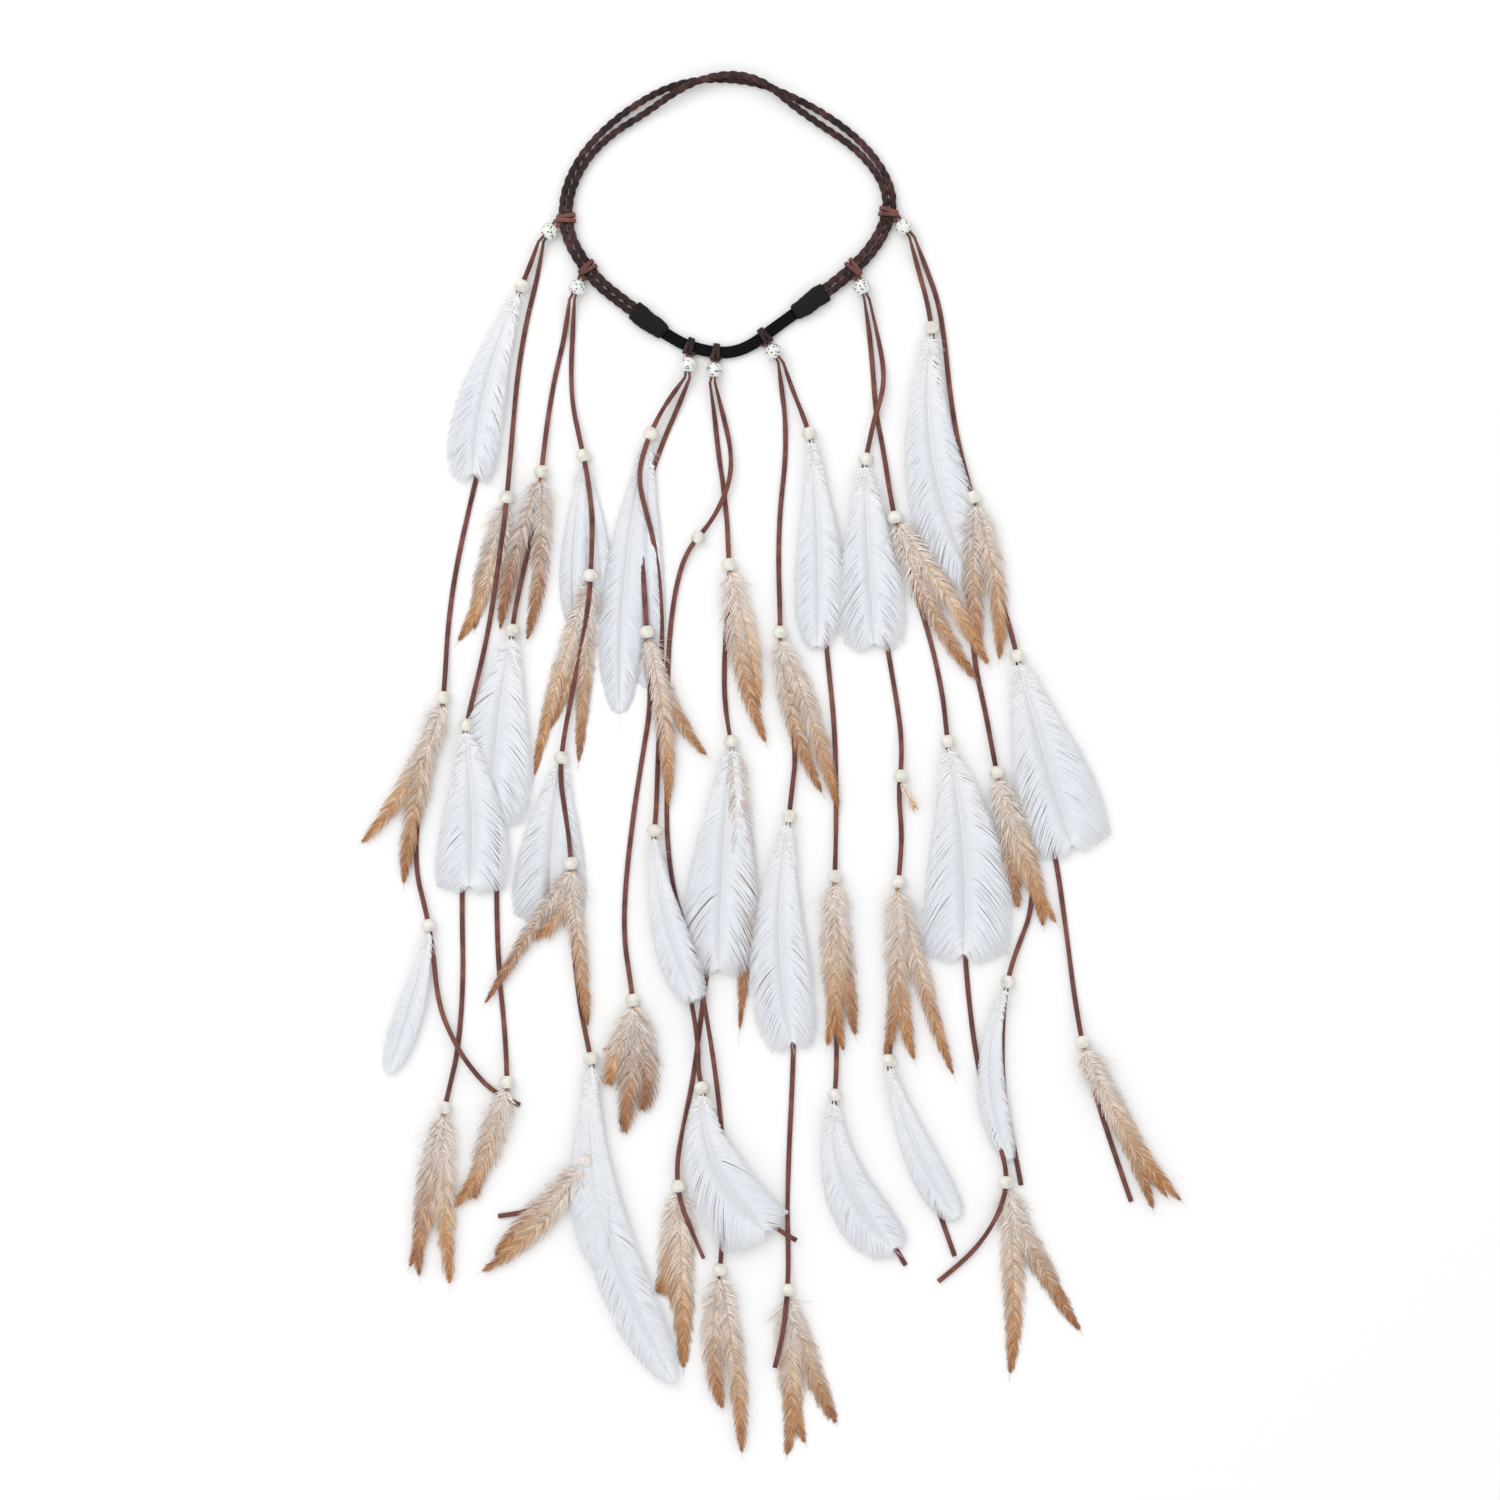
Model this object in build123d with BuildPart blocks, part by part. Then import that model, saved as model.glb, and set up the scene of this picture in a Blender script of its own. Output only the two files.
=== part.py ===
"""Feather headband: a braided band with an elastic back and seven feathered tassels.

The band lies flat on a table at Z = 0. The origin is the middle of the opening for the
head, +Y points away from the tassels and +Z points up. All sizes are in millimetres.
"""
from build123d import *
import math
import os

# ---- driving dimensions -------------------------------------------------------------
braid_diameter = 3.7
braid_gap = 0.3            # between the two braids where they run side by side
cord_height = 3.7          # centre line of the braids above the table

sleeve_length = 21.0
sleeve_grip = 9.5          # how far the braids' ends reach into a sleeve
sleeve_wide_end = 11.6
sleeve_narrow_end = 9.4
sleeve_wall = 1.4
sleeve_rounding = 1.2

elastic_width = 6.5
elastic_thickness = 1.2
elastic_height = 2.6       # centre line of the elastic above the table

wrap_thickness = 1.5       # lace wrapped round the band at a hitch
wrap_length = 6.0          # along the band
wrap_clearance = 0.3
neck_thickness = 2.4       # the doubled lace between the band and its knot bead
neck_rounding = 0.8
neck_beyond_bead = 4.9     # from the middle of the knot bead to the end of the neck

knot_bead_diameter = 9.5
knot_bead_bore = 5.4
neck_play = 1.0            # across the neck's width in the knot bead's bore
wood_bead_diameter = 8.4

lace_diameter = 2.6
quill_diameter = 0.8
feather_thickness = 0.6
feather_root_width = 1.0
feather_tip_width = 1.0
feather_widest_place = 0.55   # share of the vane's length, from its root
bore_room = 0.8            # that a lace and a quill leave across a wood bead's bore
bore_clearance = 0.15      # from a lace to the bore's wall, and from it to a quill
quill_gap = 0.5            # between two quills that share a bead
vane_clearance = 0.7       # between a bead's mouth and a feather's vane

# ---- what follows from them ---------------------------------------------------------
braid_pitch = braid_diameter + braid_gap
bead_height = knot_bead_diameter / 2
lace_radius = lace_diameter / 2
neck_width = knot_bead_bore - neck_play
wood_bead_bore = lace_diameter + quill_diameter + bore_room
# A lace lies off the middle of its bead's bore, and a quill off it on the other side.
lace_offset = wood_bead_bore / 2 - lace_radius - bore_clearance
quill_offset = lace_radius + bore_clearance + quill_diameter / 2 - lace_offset
quill_pitch = quill_diameter + quill_gap
corner_share = 0.45          # of a route's shorter run, which a corner's arc takes

# ---- the band: outer braid, then how far inside it the inner braid runs --------------
# Each point is x, y, the pitch to the inner braid, and the inner braid's extra height.
# Over the crown the inner braid crosses the outer one twice and lies on top of it.
crown_lift = braid_pitch
BRAID_ROUTE = [
    (-46, -60.5, braid_pitch, 0),
    (-60, -50, braid_pitch, 0),
    (-74, -39, braid_pitch, 0),
    (-85, -24, braid_pitch, 0),
    (-91, -11, braid_pitch, 0),
    (-92, 5, braid_pitch, 0),
    (-88, 20, braid_pitch, 0),
    (-79, 35, braid_pitch, 0),
    (-66, 48.5, braid_pitch + 1, 0),
    (-50, 60.5, braid_pitch + 3, 0),
    (-33, 69.5, braid_pitch + 1, crown_lift),
    (-16, 73.5, 0.5, crown_lift),
    (2, 73.5, -3, crown_lift),
    (19, 70.5, -1.5, crown_lift),
    (37, 63, braid_pitch + 1, crown_lift),
    (55, 53, braid_pitch + 2.5, 0),
    (72, 40, braid_pitch + 1, 0),
    (85, 24, braid_pitch, 0),
    (91, 8, braid_pitch, 0),
    (88, -8, braid_pitch, 0),
    (78, -24, braid_pitch, 0),
    (62, -39, braid_pitch, 0),
    (46.5, -50, braid_pitch, 0),
]
ELASTIC_ROUTE = [(-42, -61), (-29.6, -70.3), (-14, -75.5), (-0.5, -77), (12, -73), (27, -61.4),
                 (42.5, -50.4)]

# Sleeves: the point of the braids' route that each one grips, the next point, and the
# point that the sleeve points at.
SLEEVES = {
    "left": (0, 1, (-35.6, -65.8)),
    "right": (-1, -2, (36.0, -55.0)),
}

# Hitches: the leg of the band that each one is tied round (braid pair or elastic), the
# foot of its neck on the wrap, and its knot bead's middle.
HITCHES = [
    ("braid", 4, (-94.3, -5.0), (-98.6, -10.2)),
    ("braid", 2, (-80.6, -34.7), (-83.3, -40.9)),
    ("elastic", 1, (-21.6, -77.2), (-22.3, -83.3)),
    ("elastic", 2, (-7.5, -80.2), (-8.2, -86.3)),
    ("elastic", 4, (20.8, -71.4), (24.2, -76.2)),
    ("braid", 20, (70.4, -34.9), (72.8, -40.7)),
    ("braid", 18, (91.9, -2.5), (95.9, -7.6)),
]

# ---- the tails: two suede laces hang from each knot bead ------------------------------
# The points of each lace's route, from its knot bead to its bare end.
LACE_ROUTES = {
    "1a": [(-104.6, -15.8, 4.75), (-110, -31, 3.55), (-118, -49, 3.55), (-123, -74, 1.4),
           (-127, -101, 1.4), (-135, -129, 1.4), (-143, -162, 1.4), (-151, -199, 1.4),
           (-155, -231, 1.4), (-156, -256, 3.55), (-158, -276, 3.55), (-166, -305, 1.4),
           (-172, -336, 1.4), (-172, -363, 1.4), (-167, -381, 3.55), (-163, -401, 3.55),
           (-160, -434, 2.4), (-152, -453, 4.8), (-143, -468, 4.8), (-129, -484, 1.4),
           (-115, -490, 1.4)],
    "1b": [(-101.8, -15.8, 4.75), (-105, -34, 1.4), (-111, -57, 1.4), (-116, -86, 1.4),
           (-119, -118, 1.4), (-121, -146, 4.85), (-123, -166, 4.85), (-127, -195, 2.6),
           (-133, -234, 2.3), (-142, -271, 3.55), (-146, -291, 3.55), (-146, -327, 1.4),
           (-147, -376, 1.4), (-146, -424, 1.4), (-149, -460, 1.4), (-154, -482, 3.55),
           (-158, -500, 3.55)],
    "2a": [(-87.6, -47.6, 4.75), (-90, -66, 1.4), (-95, -86, 1.4), (-99, -108, 1.4),
           (-102, -132, 3.55), (-104, -152, 3.55), (-110, -183, 1.4), (-118, -219, 3.55),
           (-120, -239, 3.55), (-125, -275, 1.4), (-127, -322, 1.4), (-128, -370, 1.4),
           (-127, -412, 1.4), (-123.5, -447, 1.4), (-122, -471, 3.55), (-122, -483, 3.55)],
    "2b": [(-84.8, -47.6, 4.75), (-86, -66, 1.4), (-87, -88, 1.4), (-86, -106, 1.4),
           (-82, -124, 4.85), (-78, -142, 4.85), (-75, -167, 2.6), (-75.5, -189, 4.85),
           (-76.5, -209, 4.85), (-80, -233, 2.4), (-86, -262, 2.3), (-91, -289, 4.85),
           (-93, -309, 4.85), (-89.5, -333, 2.4), (-87.5, -347, 3.55), (-86.5, -367, 3.55),
           (-86, -396, 1.4), (-83, -430, 1.4), (-78, -455, 3.55), (-74, -473, 3.55),
           (-73, -494, 1.6), (-76, -512, 3.55), (-82, -528, 3.55), (-94, -541, 1.4),
           (-110, -549, 1.4), (-127, -551, 1.4)],
    "3a": [(-24.3, -90.4, 4.75), (-32, -101, 4.75), (-39, -112, 4.85), (-47, -130, 4.85),
           (-50, -147, 4.8), (-45, -166, 4.8), (-40, -186, 1.4), (-37, -215, 1.4),
           (-37, -250, 1.4), (-39, -294, 1.4), (-40, -330, 3.55), (-42, -348, 3.55),
           (-35, -374, 1.4), (-27, -402, 1.4), (-20, -436, 4.8), (-17, -456, 4.8),
           (-17, -471, 3.55), (-13, -489, 3.55), (-8, -510, 4.4), (1, -530, 4.4),
           (11, -545, 2.4), (23, -556, 4.8), (37, -564, 4.8)],
    "3b": [(-21.5, -90.4, 4.75), (-27, -104, 2.4), (-35, -122, 1.4), (-42, -141, 1.4),
           (-48, -160, 1.4), (-48, -184, 1.4), (-46, -220, 3.55), (-44, -240, 3.55),
           (-43, -270, 1.4), (-48, -300, 1.4), (-53, -333, 1.4), (-57, -368, 1.4),
           (-58, -398, 1.4), (-54, -423, 3.55), (-52, -441, 3.55), (-55.5, -471, 1.4),
           (-59, -501, 1.4)],
    "4a": [(-7.7, -93.2, 4.75), (-3.5, -110, 2.4), (1, -129, 2.4), (1, -145, 4.8),
           (-4, -159, 4.8), (-11, -171, 3.55), (-23, -185, 3.55), (-29, -203, 1.4),
           (-33, -232, 1.4), (-34, -268, 1.4), (-34, -305, 1.4), (-34.5, -345, 1.4),
           (-29, -380, 1.6), (-19, -405, 4.8), (-13, -437, 4.8), (-8, -468, 4.4),
           (-4.5, -498, 1.4), (-2, -534, 1.4), (-4, -570, 3.55), (-6, -590, 3.55)],
    "4b": [(-10.5, -93.2, 4.75), (-8, -111, 1.4), (-6, -131, 1.4), (-3, -151, 1.4),
           (-1, -170, 1.4), (-0.5, -183, 3.55), (0.5, -203, 3.55), (-2, -232, 1.4),
           (-3, -260, 1.4), (-1, -280, 3.55), (3, -300, 3.55), (1, -325, 1.4),
           (-3, -356, 1.4), (-9, -394, 1.4), (-15, -438, 1.4), (-20, -478, 1.4),
           (-26, -504, 1.4), (-29, -525, 4.85), (-27, -543, 4.85), (-20.5, -559, 4.3),
           (-14, -574, 3.6)],
    "5a": [(27, -82.2, 4.75), (29, -97, 1.4), (31, -114, 1.4), (31, -136, 1.4),
           (28, -162, 1.4), (27, -190, 1.4), (28, -220, 3.55), (28, -240, 3.55),
           (32, -266, 1.4), (37, -296, 1.4), (34, -321, 3.55), (32, -341, 3.55),
           (34, -378, 1.4), (36, -428, 1.4), (35, -474, 1.4), (33, -512, 1.4),
           (32, -545, 1.4), (32.5, -569, 1.4), (32.5, -583, 4.85), (31.5, -599, 4.85),
           (29.5, -617, 4.3), (25, -634, 3.7)],
    "5b": [(29.8, -82.2, 4.75), (34, -95, 3.6), (41, -112, 3.55), (47, -130, 3.55),
           (50, -160, 1.4), (51, -195, 1.4), (53, -235, 1.4), (58, -280, 1.4),
           (59, -320, 1.4), (58.5, -354, 3.55), (57.5, -374, 3.55), (58, -408, 1.4),
           (59, -446, 1.4), (59, -474, 3.55), (57, -494, 3.55), (66, -522, 1.4),
           (81, -551, 1.4), (97, -578, 1.4)],
    "6a": [(77, -47.4, 4.75), (81, -64, 2), (85, -84, 2.4), (84.5, -98, 4.8),
           (79.5, -114, 4.8), (77, -126, 3.55), (73, -144, 3.55), (76, -168, 1.4),
           (81, -202, 1.4), (88, -244, 1.4), (94, -279, 1.4), (95, -299, 3.55),
           (93, -319, 3.55), (95, -340, 1.6), (94, -357, 3.55), (92, -377, 3.55),
           (91, -408, 1.4), (90, -436, 1.4), (88.5, -455, 3.55), (87.5, -475, 3.55),
           (98, -500, 1.4), (111, -536, 1.4), (124, -573, 1.4)],
    "6b": [(74.2, -47.4, 4.75), (77, -64, 1.4), (79, -86, 1.4), (80.5, -108, 1.4),
           (85, -131, 1.4), (89, -158, 3.55), (93, -176, 3.55), (101, -203, 1.4),
           (111, -235, 1.4), (117, -262, 1.4), (119, -280, 3.55), (121, -300, 3.55),
           (123.5, -336, 1.4), (128, -382, 1.4), (131, -426, 1.4), (136, -466, 1.4),
           (144, -500, 1.4), (152.5, -523, 4.85), (151.5, -541, 4.85), (143, -559, 3.6),
           (130, -575, 2.3), (115, -587, 1.4)],
    "7a": [(99, -13.4, 4.75), (104, -31, 2.4), (110, -53, 3.55), (112, -73, 3.55),
           (116, -106, 1.4), (122, -141, 1.4), (128, -178, 1.4), (132, -214, 1.4),
           (135, -248, 1.4), (141, -274, 1.4), (145, -297, 3.55), (149, -317, 3.55),
           (160, -338, 1.4), (167, -362, 1.4), (166, -384, 1.4), (160, -400, 1.6),
           (155, -413, 3.55), (151, -431, 3.55), (150, -459, 1.4), (151, -486, 1.4),
           (156, -510, 1.4), (160.5, -534, 1.4)],
    "7b": [(101.8, -13.4, 4.75), (108, -29, 1.4), (115, -48, 1.4), (118.5, -70, 1.4),
           (121, -95, 1.4), (125, -122, 1.4), (131, -147, 3.55), (137, -165, 3.55),
           (144, -192, 1.4), (150, -213, 1.4), (156, -234, 3.55), (160, -252, 3.55),
           (165, -286, 1.4), (172, -320, 1.4), (180, -356, 1.4), (185, -392, 1.4),
           (189, -424, 1.4), (192, -445, 3.55), (196, -465, 3.55), (203, -490, 1.4),
           (212, -517, 1.4), (221, -543, 1.4)],
}

# The legs of each route that carry a wood bead, at their middle.
BEAD_LEGS = {
    "1a": (1, 9, 14), "1b": (5, 9, 15), "2a": (4, 7, 14), "2b": (4, 7, 11, 14, 18, 21),
    "3a": (2, 10, 16), "3b": (6, 13), "4a": (5, 18), "4b": (5, 9, 17),
    "5a": (6, 10, 18), "5b": (2, 9, 13), "6a": (5, 11, 14, 18), "6b": (5, 10, 17),
    "7a": (2, 10, 16), "7b": (6, 10, 17),
}

# The feathers: lace, which of its beads, tip, and how far the vane reaches to the left
# and to the right of the straight line from bead to tip, seen from above with the tip
# ahead. Two feathers in one bead lie side by side: the last number is their side.
WHITE_FEATHERS = [
    ("1a", 0, (-141, -148, 3.4), 9, 7, 0),
    ("1a", 2, (-188, -474, 3.4), 8, -2, 0),
    ("1b", 1, (-143, -372, 3.4), 12, 12, 0),
    ("2a", 1, (-128, -336, 3.4), 10, 8, 0),
    ("2b", 0, (-84, -228, 0.5), -2, 9, 0),
    ("2b", 2, (-104, -392, 0.5), 1, 12, 0),
    ("2b", 4, (-24, -650, 5.4), 8, 4, 1),
    ("2b", 4, (-70, -582, 5.4), 4, 1, -1),
    ("3a", 0, (-61, -282, 0.5), -6, 14, 0),
    ("3a", 1, (-17, -418, 7.2), 4, 6, 0),
    ("3a", 2, (26, -562, 7.8), 3, 24, 0),
    ("4b", 1, (-2, -420, 3.6), 13, 13, 0),
    ("5a", 1, (25, -460, 3.4), 12, 8, 0),
    ("5b", 0, (48, -243, 3.4), 10, 9, 0),
    ("5b", 2, (92, -572, 3.4), 5, 12, 0),
    ("6a", 0, (74, -240, 3.4), 7, 11, 0),
    ("6a", 3, (127, -552, 3.4), -2, 12, 0),
    ("6b", 1, (126, -412, 3.4), 11, 14, 0),
    ("7a", 0, (134, -207, 3.4), 0, 15, 0),
    ("7a", 2, (154, -516, 3.4), -4, 12, 0),
    ("7b", 1, (190, -350, 3.4), 15, 9, 0),
]
BROWN_FEATHERS = [
    ("1a", 1, (-200, -345, 3.4), 6, 6, 0),
    ("1b", 0, (-150, -236, 0.5), 4, 6, 0),
    ("1b", 2, (-176, -580, 3.4), 2, 6, -1),
    ("1b", 2, (-153, -590, 3.4), 6, 2, 1),
    ("2a", 0, (-129, -226, 3.4), 4, 4, 0),
    ("2a", 2, (-152, -546, 3.4), 2, 10, 0),
    ("2b", 1, (-103, -288, 0.5), 2, 6, 0),
    ("2b", 3, (-107, -397, 3.4), 2, 6, 0),
    ("2b", 5, (-137, -580, 3.4), 4, 7, 0),
    ("3b", 0, (-33, -324, 3.6), 3, 3, 0),
    ("3b", 1, (-58, -504, 3.4), 4, 8, 0),
    ("4a", 1, (6, -684, 3.4), 4, 4, 0),
    ("4b", 0, (19, -288, 3.4), 6, 4, 0),
    ("4b", 2, (-27, -636, 0.5), 6, 8, 0),
    ("5a", 0, (60, -326, 3.4), 6, 4, 0),
    ("5a", 2, (31, -682, 0.5), 1, 8, -1),
    ("5a", 2, (57, -664, 0.5), 8, 1, 1),
    ("5b", 1, (68, -458, 3.6), 9, 6, 0),
    ("6a", 1, (102, -332, 3.4), 3, 2, 0),
    ("6a", 2, (103, -468, 3.4), 7, 3, 0),
    ("6b", 0, (140, -254, 3.4), 5, 5, 0),
    ("6b", 2, (158, -638, 0.5), 2, 6, -1),
    ("6b", 2, (192, -612, 0.5), 7, 1, 1),
    ("7a", 1, (172, -390, 3.4), 5, 7, 0),
    ("7b", 0, (146, -248, 3.4), 7, 8, 0),
    ("7b", 2, (232, -548, 3.4), 2, 7, -1),
    ("7b", 2, (250, -541, 3.4), 6, 2, 1),
]


# ---- routes ---------------------------------------------------------------------------
def bend_radii(points):
    """The radius at each corner, whose arc takes corner_share of the shorter run beside it."""
    radii = []
    for before, corner, after in zip(points, points[1:], points[2:]):
        arriving = Vector(*corner) - Vector(*before)
        leaving = Vector(*after) - Vector(*corner)
        half_turn = math.radians(arriving.get_angle(leaving)) / 2
        radii.append(corner_share * min(arriving.length, leaving.length) / math.tan(half_turn))
    return radii


def round_cord(name, points, diameter):
    """A round cord along straight runs joined by tangent arcs, with its length checked."""
    radii = bend_radii(points)
    with BuildPart() as cord:
        with BuildLine():
            path = FilletPolyline(*points, radius=radii)
        with BuildSketch(Plane(path @ 0, z_dir=path % 0)):
            Circle(diameter / 2)
        sweep()
    ratio = cord.part.volume / (math.pi * diameter**2 / 4 * path.length)
    print(f"{name}: {path.length:.0f} mm long, smallest radius {min(radii):.0f} mm, "
          f"volume {ratio:.4f} of section x length, radii {[round(r) for r in radii]}")
    return cord.part


def write(part, name):
    """Label a finished piece and write it to its own file."""
    part.label = name
    export_step(part, f"parts/{name}.step")


# ---- the band -------------------------------------------------------------------------
def inner_route():
    """The inner braid's points: the outer braid's, moved inwards and lifted at the crown."""
    plan = [Vector(x, y) for x, y, pitch, lift in BRAID_ROUTE]
    points = []
    for index, (x, y, pitch, lift) in enumerate(BRAID_ROUTE):
        before = plan[max(index - 1, 0)]
        after = plan[min(index + 1, len(plan) - 1)]
        along = (after - before).normalized()
        inwards = Vector(along.Y, -along.X)
        place = plan[index] + inwards * pitch
        points.append((place.X, place.Y, cord_height + lift))
    return points


def outer_route():
    """The outer braid's points."""
    return [(x, y, cord_height) for x, y, pitch, lift in BRAID_ROUTE]


def elastic():
    """The flat elastic across the back of the head, its ends held in the sleeves."""
    with BuildPart() as band:
        with BuildLine():
            points = [(x, y, elastic_height) for x, y in ELASTIC_ROUTE]
            path = FilletPolyline(*points, radius=bend_radii(points))
        with BuildSketch(Plane(path @ 0, x_dir=(0, 0, 1), z_dir=path % 0)):
            Rectangle(elastic_thickness, elastic_width)
        sweep()
    return band.part


def sleeve(gripped, neighbour, aim):
    """A tapered wrap that holds the braids' ends on one side and the elastic on the other."""
    outer_end, outer_next = (Vector(*BRAID_ROUTE[n][:2]) for n in (gripped, neighbour))
    inner_end = Vector(*inner_route()[gripped][:2])
    back = (outer_next - outer_end).normalized() * sleeve_grip
    middle = (outer_end + inner_end) * 0.5 + back
    wide_end = (middle.X, middle.Y)
    along = (Vector(*aim) - middle).normalized()
    ground = Plane(origin=wide_end, x_dir=along, z_dir=(0, 0, 1))
    height = cord_height + braid_diameter / 2 + wrap_clearance + sleeve_wall
    cavity_height = braid_diameter + 2 * wrap_clearance
    pair_width = 2 * braid_diameter + braid_gap + 2 * wrap_clearance
    with BuildPart() as body:
        with BuildSketch(ground):
            with BuildLine():
                Polyline(
                    (0, -sleeve_wide_end / 2),
                    (sleeve_length, -sleeve_narrow_end / 2),
                    (sleeve_length, sleeve_narrow_end / 2),
                    (0, sleeve_wide_end / 2),
                    close=True,
                )
            make_face()
        extrude(amount=height)
        top = body.faces().sort_by(Axis.Z)[-1]
        fillet(top.edges(), sleeve_rounding)
        mouth = Plane(origin=(*wide_end, cord_height), x_dir=along.cross(Vector(0, 0, 1)), z_dir=along)
        with BuildSketch(mouth):
            Rectangle(pair_width, cavity_height)
        extrude(amount=sleeve_length / 2, mode=Mode.SUBTRACT)
        far_side = Plane(
            origin=(*wide_end, elastic_height), x_dir=along.cross(Vector(0, 0, 1)), z_dir=along
        )
        with BuildSketch(far_side.offset(sleeve_length / 2)):
            Rectangle(elastic_width + 3 * wrap_clearance, elastic_thickness + 2 * wrap_clearance)
        extrude(amount=sleeve_length / 2, mode=Mode.SUBTRACT)
    return body.part


def hitch(kind, leg, foot, bead):
    """A lace wrapped round the band, with its doubled neck reaching through the knot bead."""
    if kind == "braid":
        start, end = (Vector(*BRAID_ROUTE[n][:2]) for n in (leg, leg + 1))
        inwards = braid_pitch / 2
        height = cord_height
        inner_width = 2 * braid_diameter + braid_gap + 2 * wrap_clearance
        inner_thickness = braid_diameter + 2 * wrap_clearance
    else:
        start, end = (Vector(*ELASTIC_ROUTE[n]) for n in (leg, leg + 1))
        inwards = 0
        height = elastic_height
        inner_width = elastic_width + 2 * wrap_clearance
        inner_thickness = elastic_thickness + 2 * wrap_clearance
    along = (end - start).normalized()
    middle = (start + end) * 0.5 + Vector(along.Y, -along.X) * inwards
    wrap_plane = Plane(origin=(middle.X, middle.Y, height), x_dir=(along.Y, -along.X), z_dir=along)
    neck_direction = (Vector(*bead) - Vector(*foot)).normalized()
    neck_length = (Vector(*bead) - Vector(*foot)).length + neck_beyond_bead
    neck_plane = Plane(
        origin=(*foot, bead_height),
        x_dir=(neck_direction.Y, -neck_direction.X),
        z_dir=neck_direction,
    )
    with BuildPart() as knot:
        with BuildSketch(wrap_plane):
            RectangleRounded(
                inner_width + 2 * wrap_thickness, inner_thickness + 2 * wrap_thickness, wrap_thickness
            )
        extrude(amount=wrap_length / 2, both=True)
        with BuildSketch(neck_plane):
            RectangleRounded(neck_width, neck_thickness, neck_rounding)
        extrude(amount=neck_length)
        with BuildSketch(wrap_plane):
            Rectangle(inner_width, inner_thickness)
        extrude(amount=wrap_length, both=True, mode=Mode.SUBTRACT)
    return knot.part


def bored_bead(middle, direction, diameter, bore):
    """A round bead with its hole along the given direction."""
    bead_plane = Plane(origin=middle, z_dir=direction)
    with BuildPart() as bead:
        with BuildSketch(Plane(origin=middle, x_dir=direction, z_dir=bead_plane.x_dir)):
            Circle(diameter / 2)
            Rectangle(diameter, bore, mode=Mode.SUBTRACT)
            Rectangle(diameter, diameter, align=(Align.CENTER, Align.MAX), mode=Mode.SUBTRACT)
        revolve(axis=Axis(middle, direction))
    return bead.part


# ---- the tails ------------------------------------------------------------------------
def lace(name):
    """One tail, with a rounded start on the line that the tassel swings about."""
    points = LACE_ROUTES[name]
    tube = round_cord(f"lace_{name}", points, lace_diameter)
    with BuildPart() as tail:
        add(tube)
        with Locations(points[0]):
            Sphere(lace_radius)
    return tail.part


def bead_seat(name, number):
    """A wood bead's middle, its lace's direction, and the side of the bore for the quills."""
    leg = BEAD_LEGS[name][number]
    start, end = (Vector(*point) for point in LACE_ROUTES[name][leg:leg + 2])
    along = (end - start).normalized()
    across = Vector(0, 0, 1).cross(along).normalized()
    up = along.cross(across)
    lace_middle = (start + end) * 0.5
    quills_above = lace_middle.Z < wood_bead_diameter / 2
    quill_side = up if quills_above else up * -1
    return lace_middle + quill_side * lace_offset, along, quill_side


def wood_bead(name, number):
    """One wood bead, threaded on its lace."""
    middle, along, quill_side = bead_seat(name, number)
    return bored_bead(middle, along, wood_bead_diameter, wood_bead_bore)


def feather(name, number, tip, left, right, side):
    """A flat vane from the bead's mouth to its tip, with its quill pushed into the bore."""
    middle, along, quill_side = bead_seat(name, number)
    across = Vector(0, 0, 1).cross(along).normalized()
    quill_line = middle + quill_side * quill_offset + across * (quill_pitch / 2 * side)
    mouth = math.sqrt(wood_bead_diameter**2 - wood_bead_bore**2) / 2
    root = quill_line + along * (mouth + vane_clearance)
    forward = (Vector(*tip) - root).normalized()
    leftwards = Vector(0, 0, 1).cross(forward).normalized()
    upwards = forward.cross(leftwards)
    length = (Vector(*tip) - root).length
    widest = feather_widest_place * length
    vane_plane = Plane(origin=root, x_dir=forward, z_dir=upwards)
    half_root = feather_root_width / 2
    half_tip = feather_tip_width / 2
    with BuildPart() as vane:
        with BuildSketch(vane_plane.offset(-feather_thickness / 2)):
            with BuildLine():
                Line((0, -half_root), (0, half_root))
                ThreePointArc((0, half_root), (widest, left), (length, half_tip))
                Line((length, half_tip), (length, -half_tip))
                ThreePointArc((length, -half_tip), (widest, -right), (0, -half_root))
            make_face()
        extrude(amount=feather_thickness)
        with BuildSketch(Plane(origin=quill_line, z_dir=along)):
            Circle(quill_diameter / 2)
        extrude(amount=mouth + vane_clearance + quill_diameter / 2)
    return vane.part


def grouped(pieces):
    """Separate solids of one kind, kept side by side in one node."""
    return Compound(children=pieces)


# ---- build ------------------------------------------------------------------------------
os.makedirs("parts", exist_ok=True)
write(round_cord("braid_outer", outer_route(), braid_diameter), "braid_outer")
write(round_cord("braid_inner", inner_route(), braid_diameter), "braid_inner")
write(elastic(), "elastic_band")
for side, grip in SLEEVES.items():
    write(sleeve(*grip), f"sleeve_{side}")

for number, (kind, leg, foot, bead) in enumerate(HITCHES, start=1):
    write(hitch(kind, leg, foot, bead), f"hitch_{number}")
    neck_direction = (Vector(*bead) - Vector(*foot)).normalized()
    knot_bead = bored_bead((*bead, bead_height), neck_direction, knot_bead_diameter, knot_bead_bore)
    write(knot_bead, f"knot_bead_{number}")

for name in LACE_ROUTES:
    write(lace(name), f"lace_{name}")

for number in range(1, len(HITCHES) + 1):
    tails = [name for name in LACE_ROUTES if name[0] == str(number)]
    beads = [wood_bead(name, place) for name in tails for place in range(len(BEAD_LEGS[name]))]
    write(grouped(beads), f"wood_beads_{number}")
    white = [feather(*row) for row in WHITE_FEATHERS if row[0] in tails]
    write(grouped(white), f"white_feathers_{number}")
    brown = [feather(*row) for row in BROWN_FEATHERS if row[0] in tails]
    write(grouped(brown), f"brown_feathers_{number}")
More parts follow.
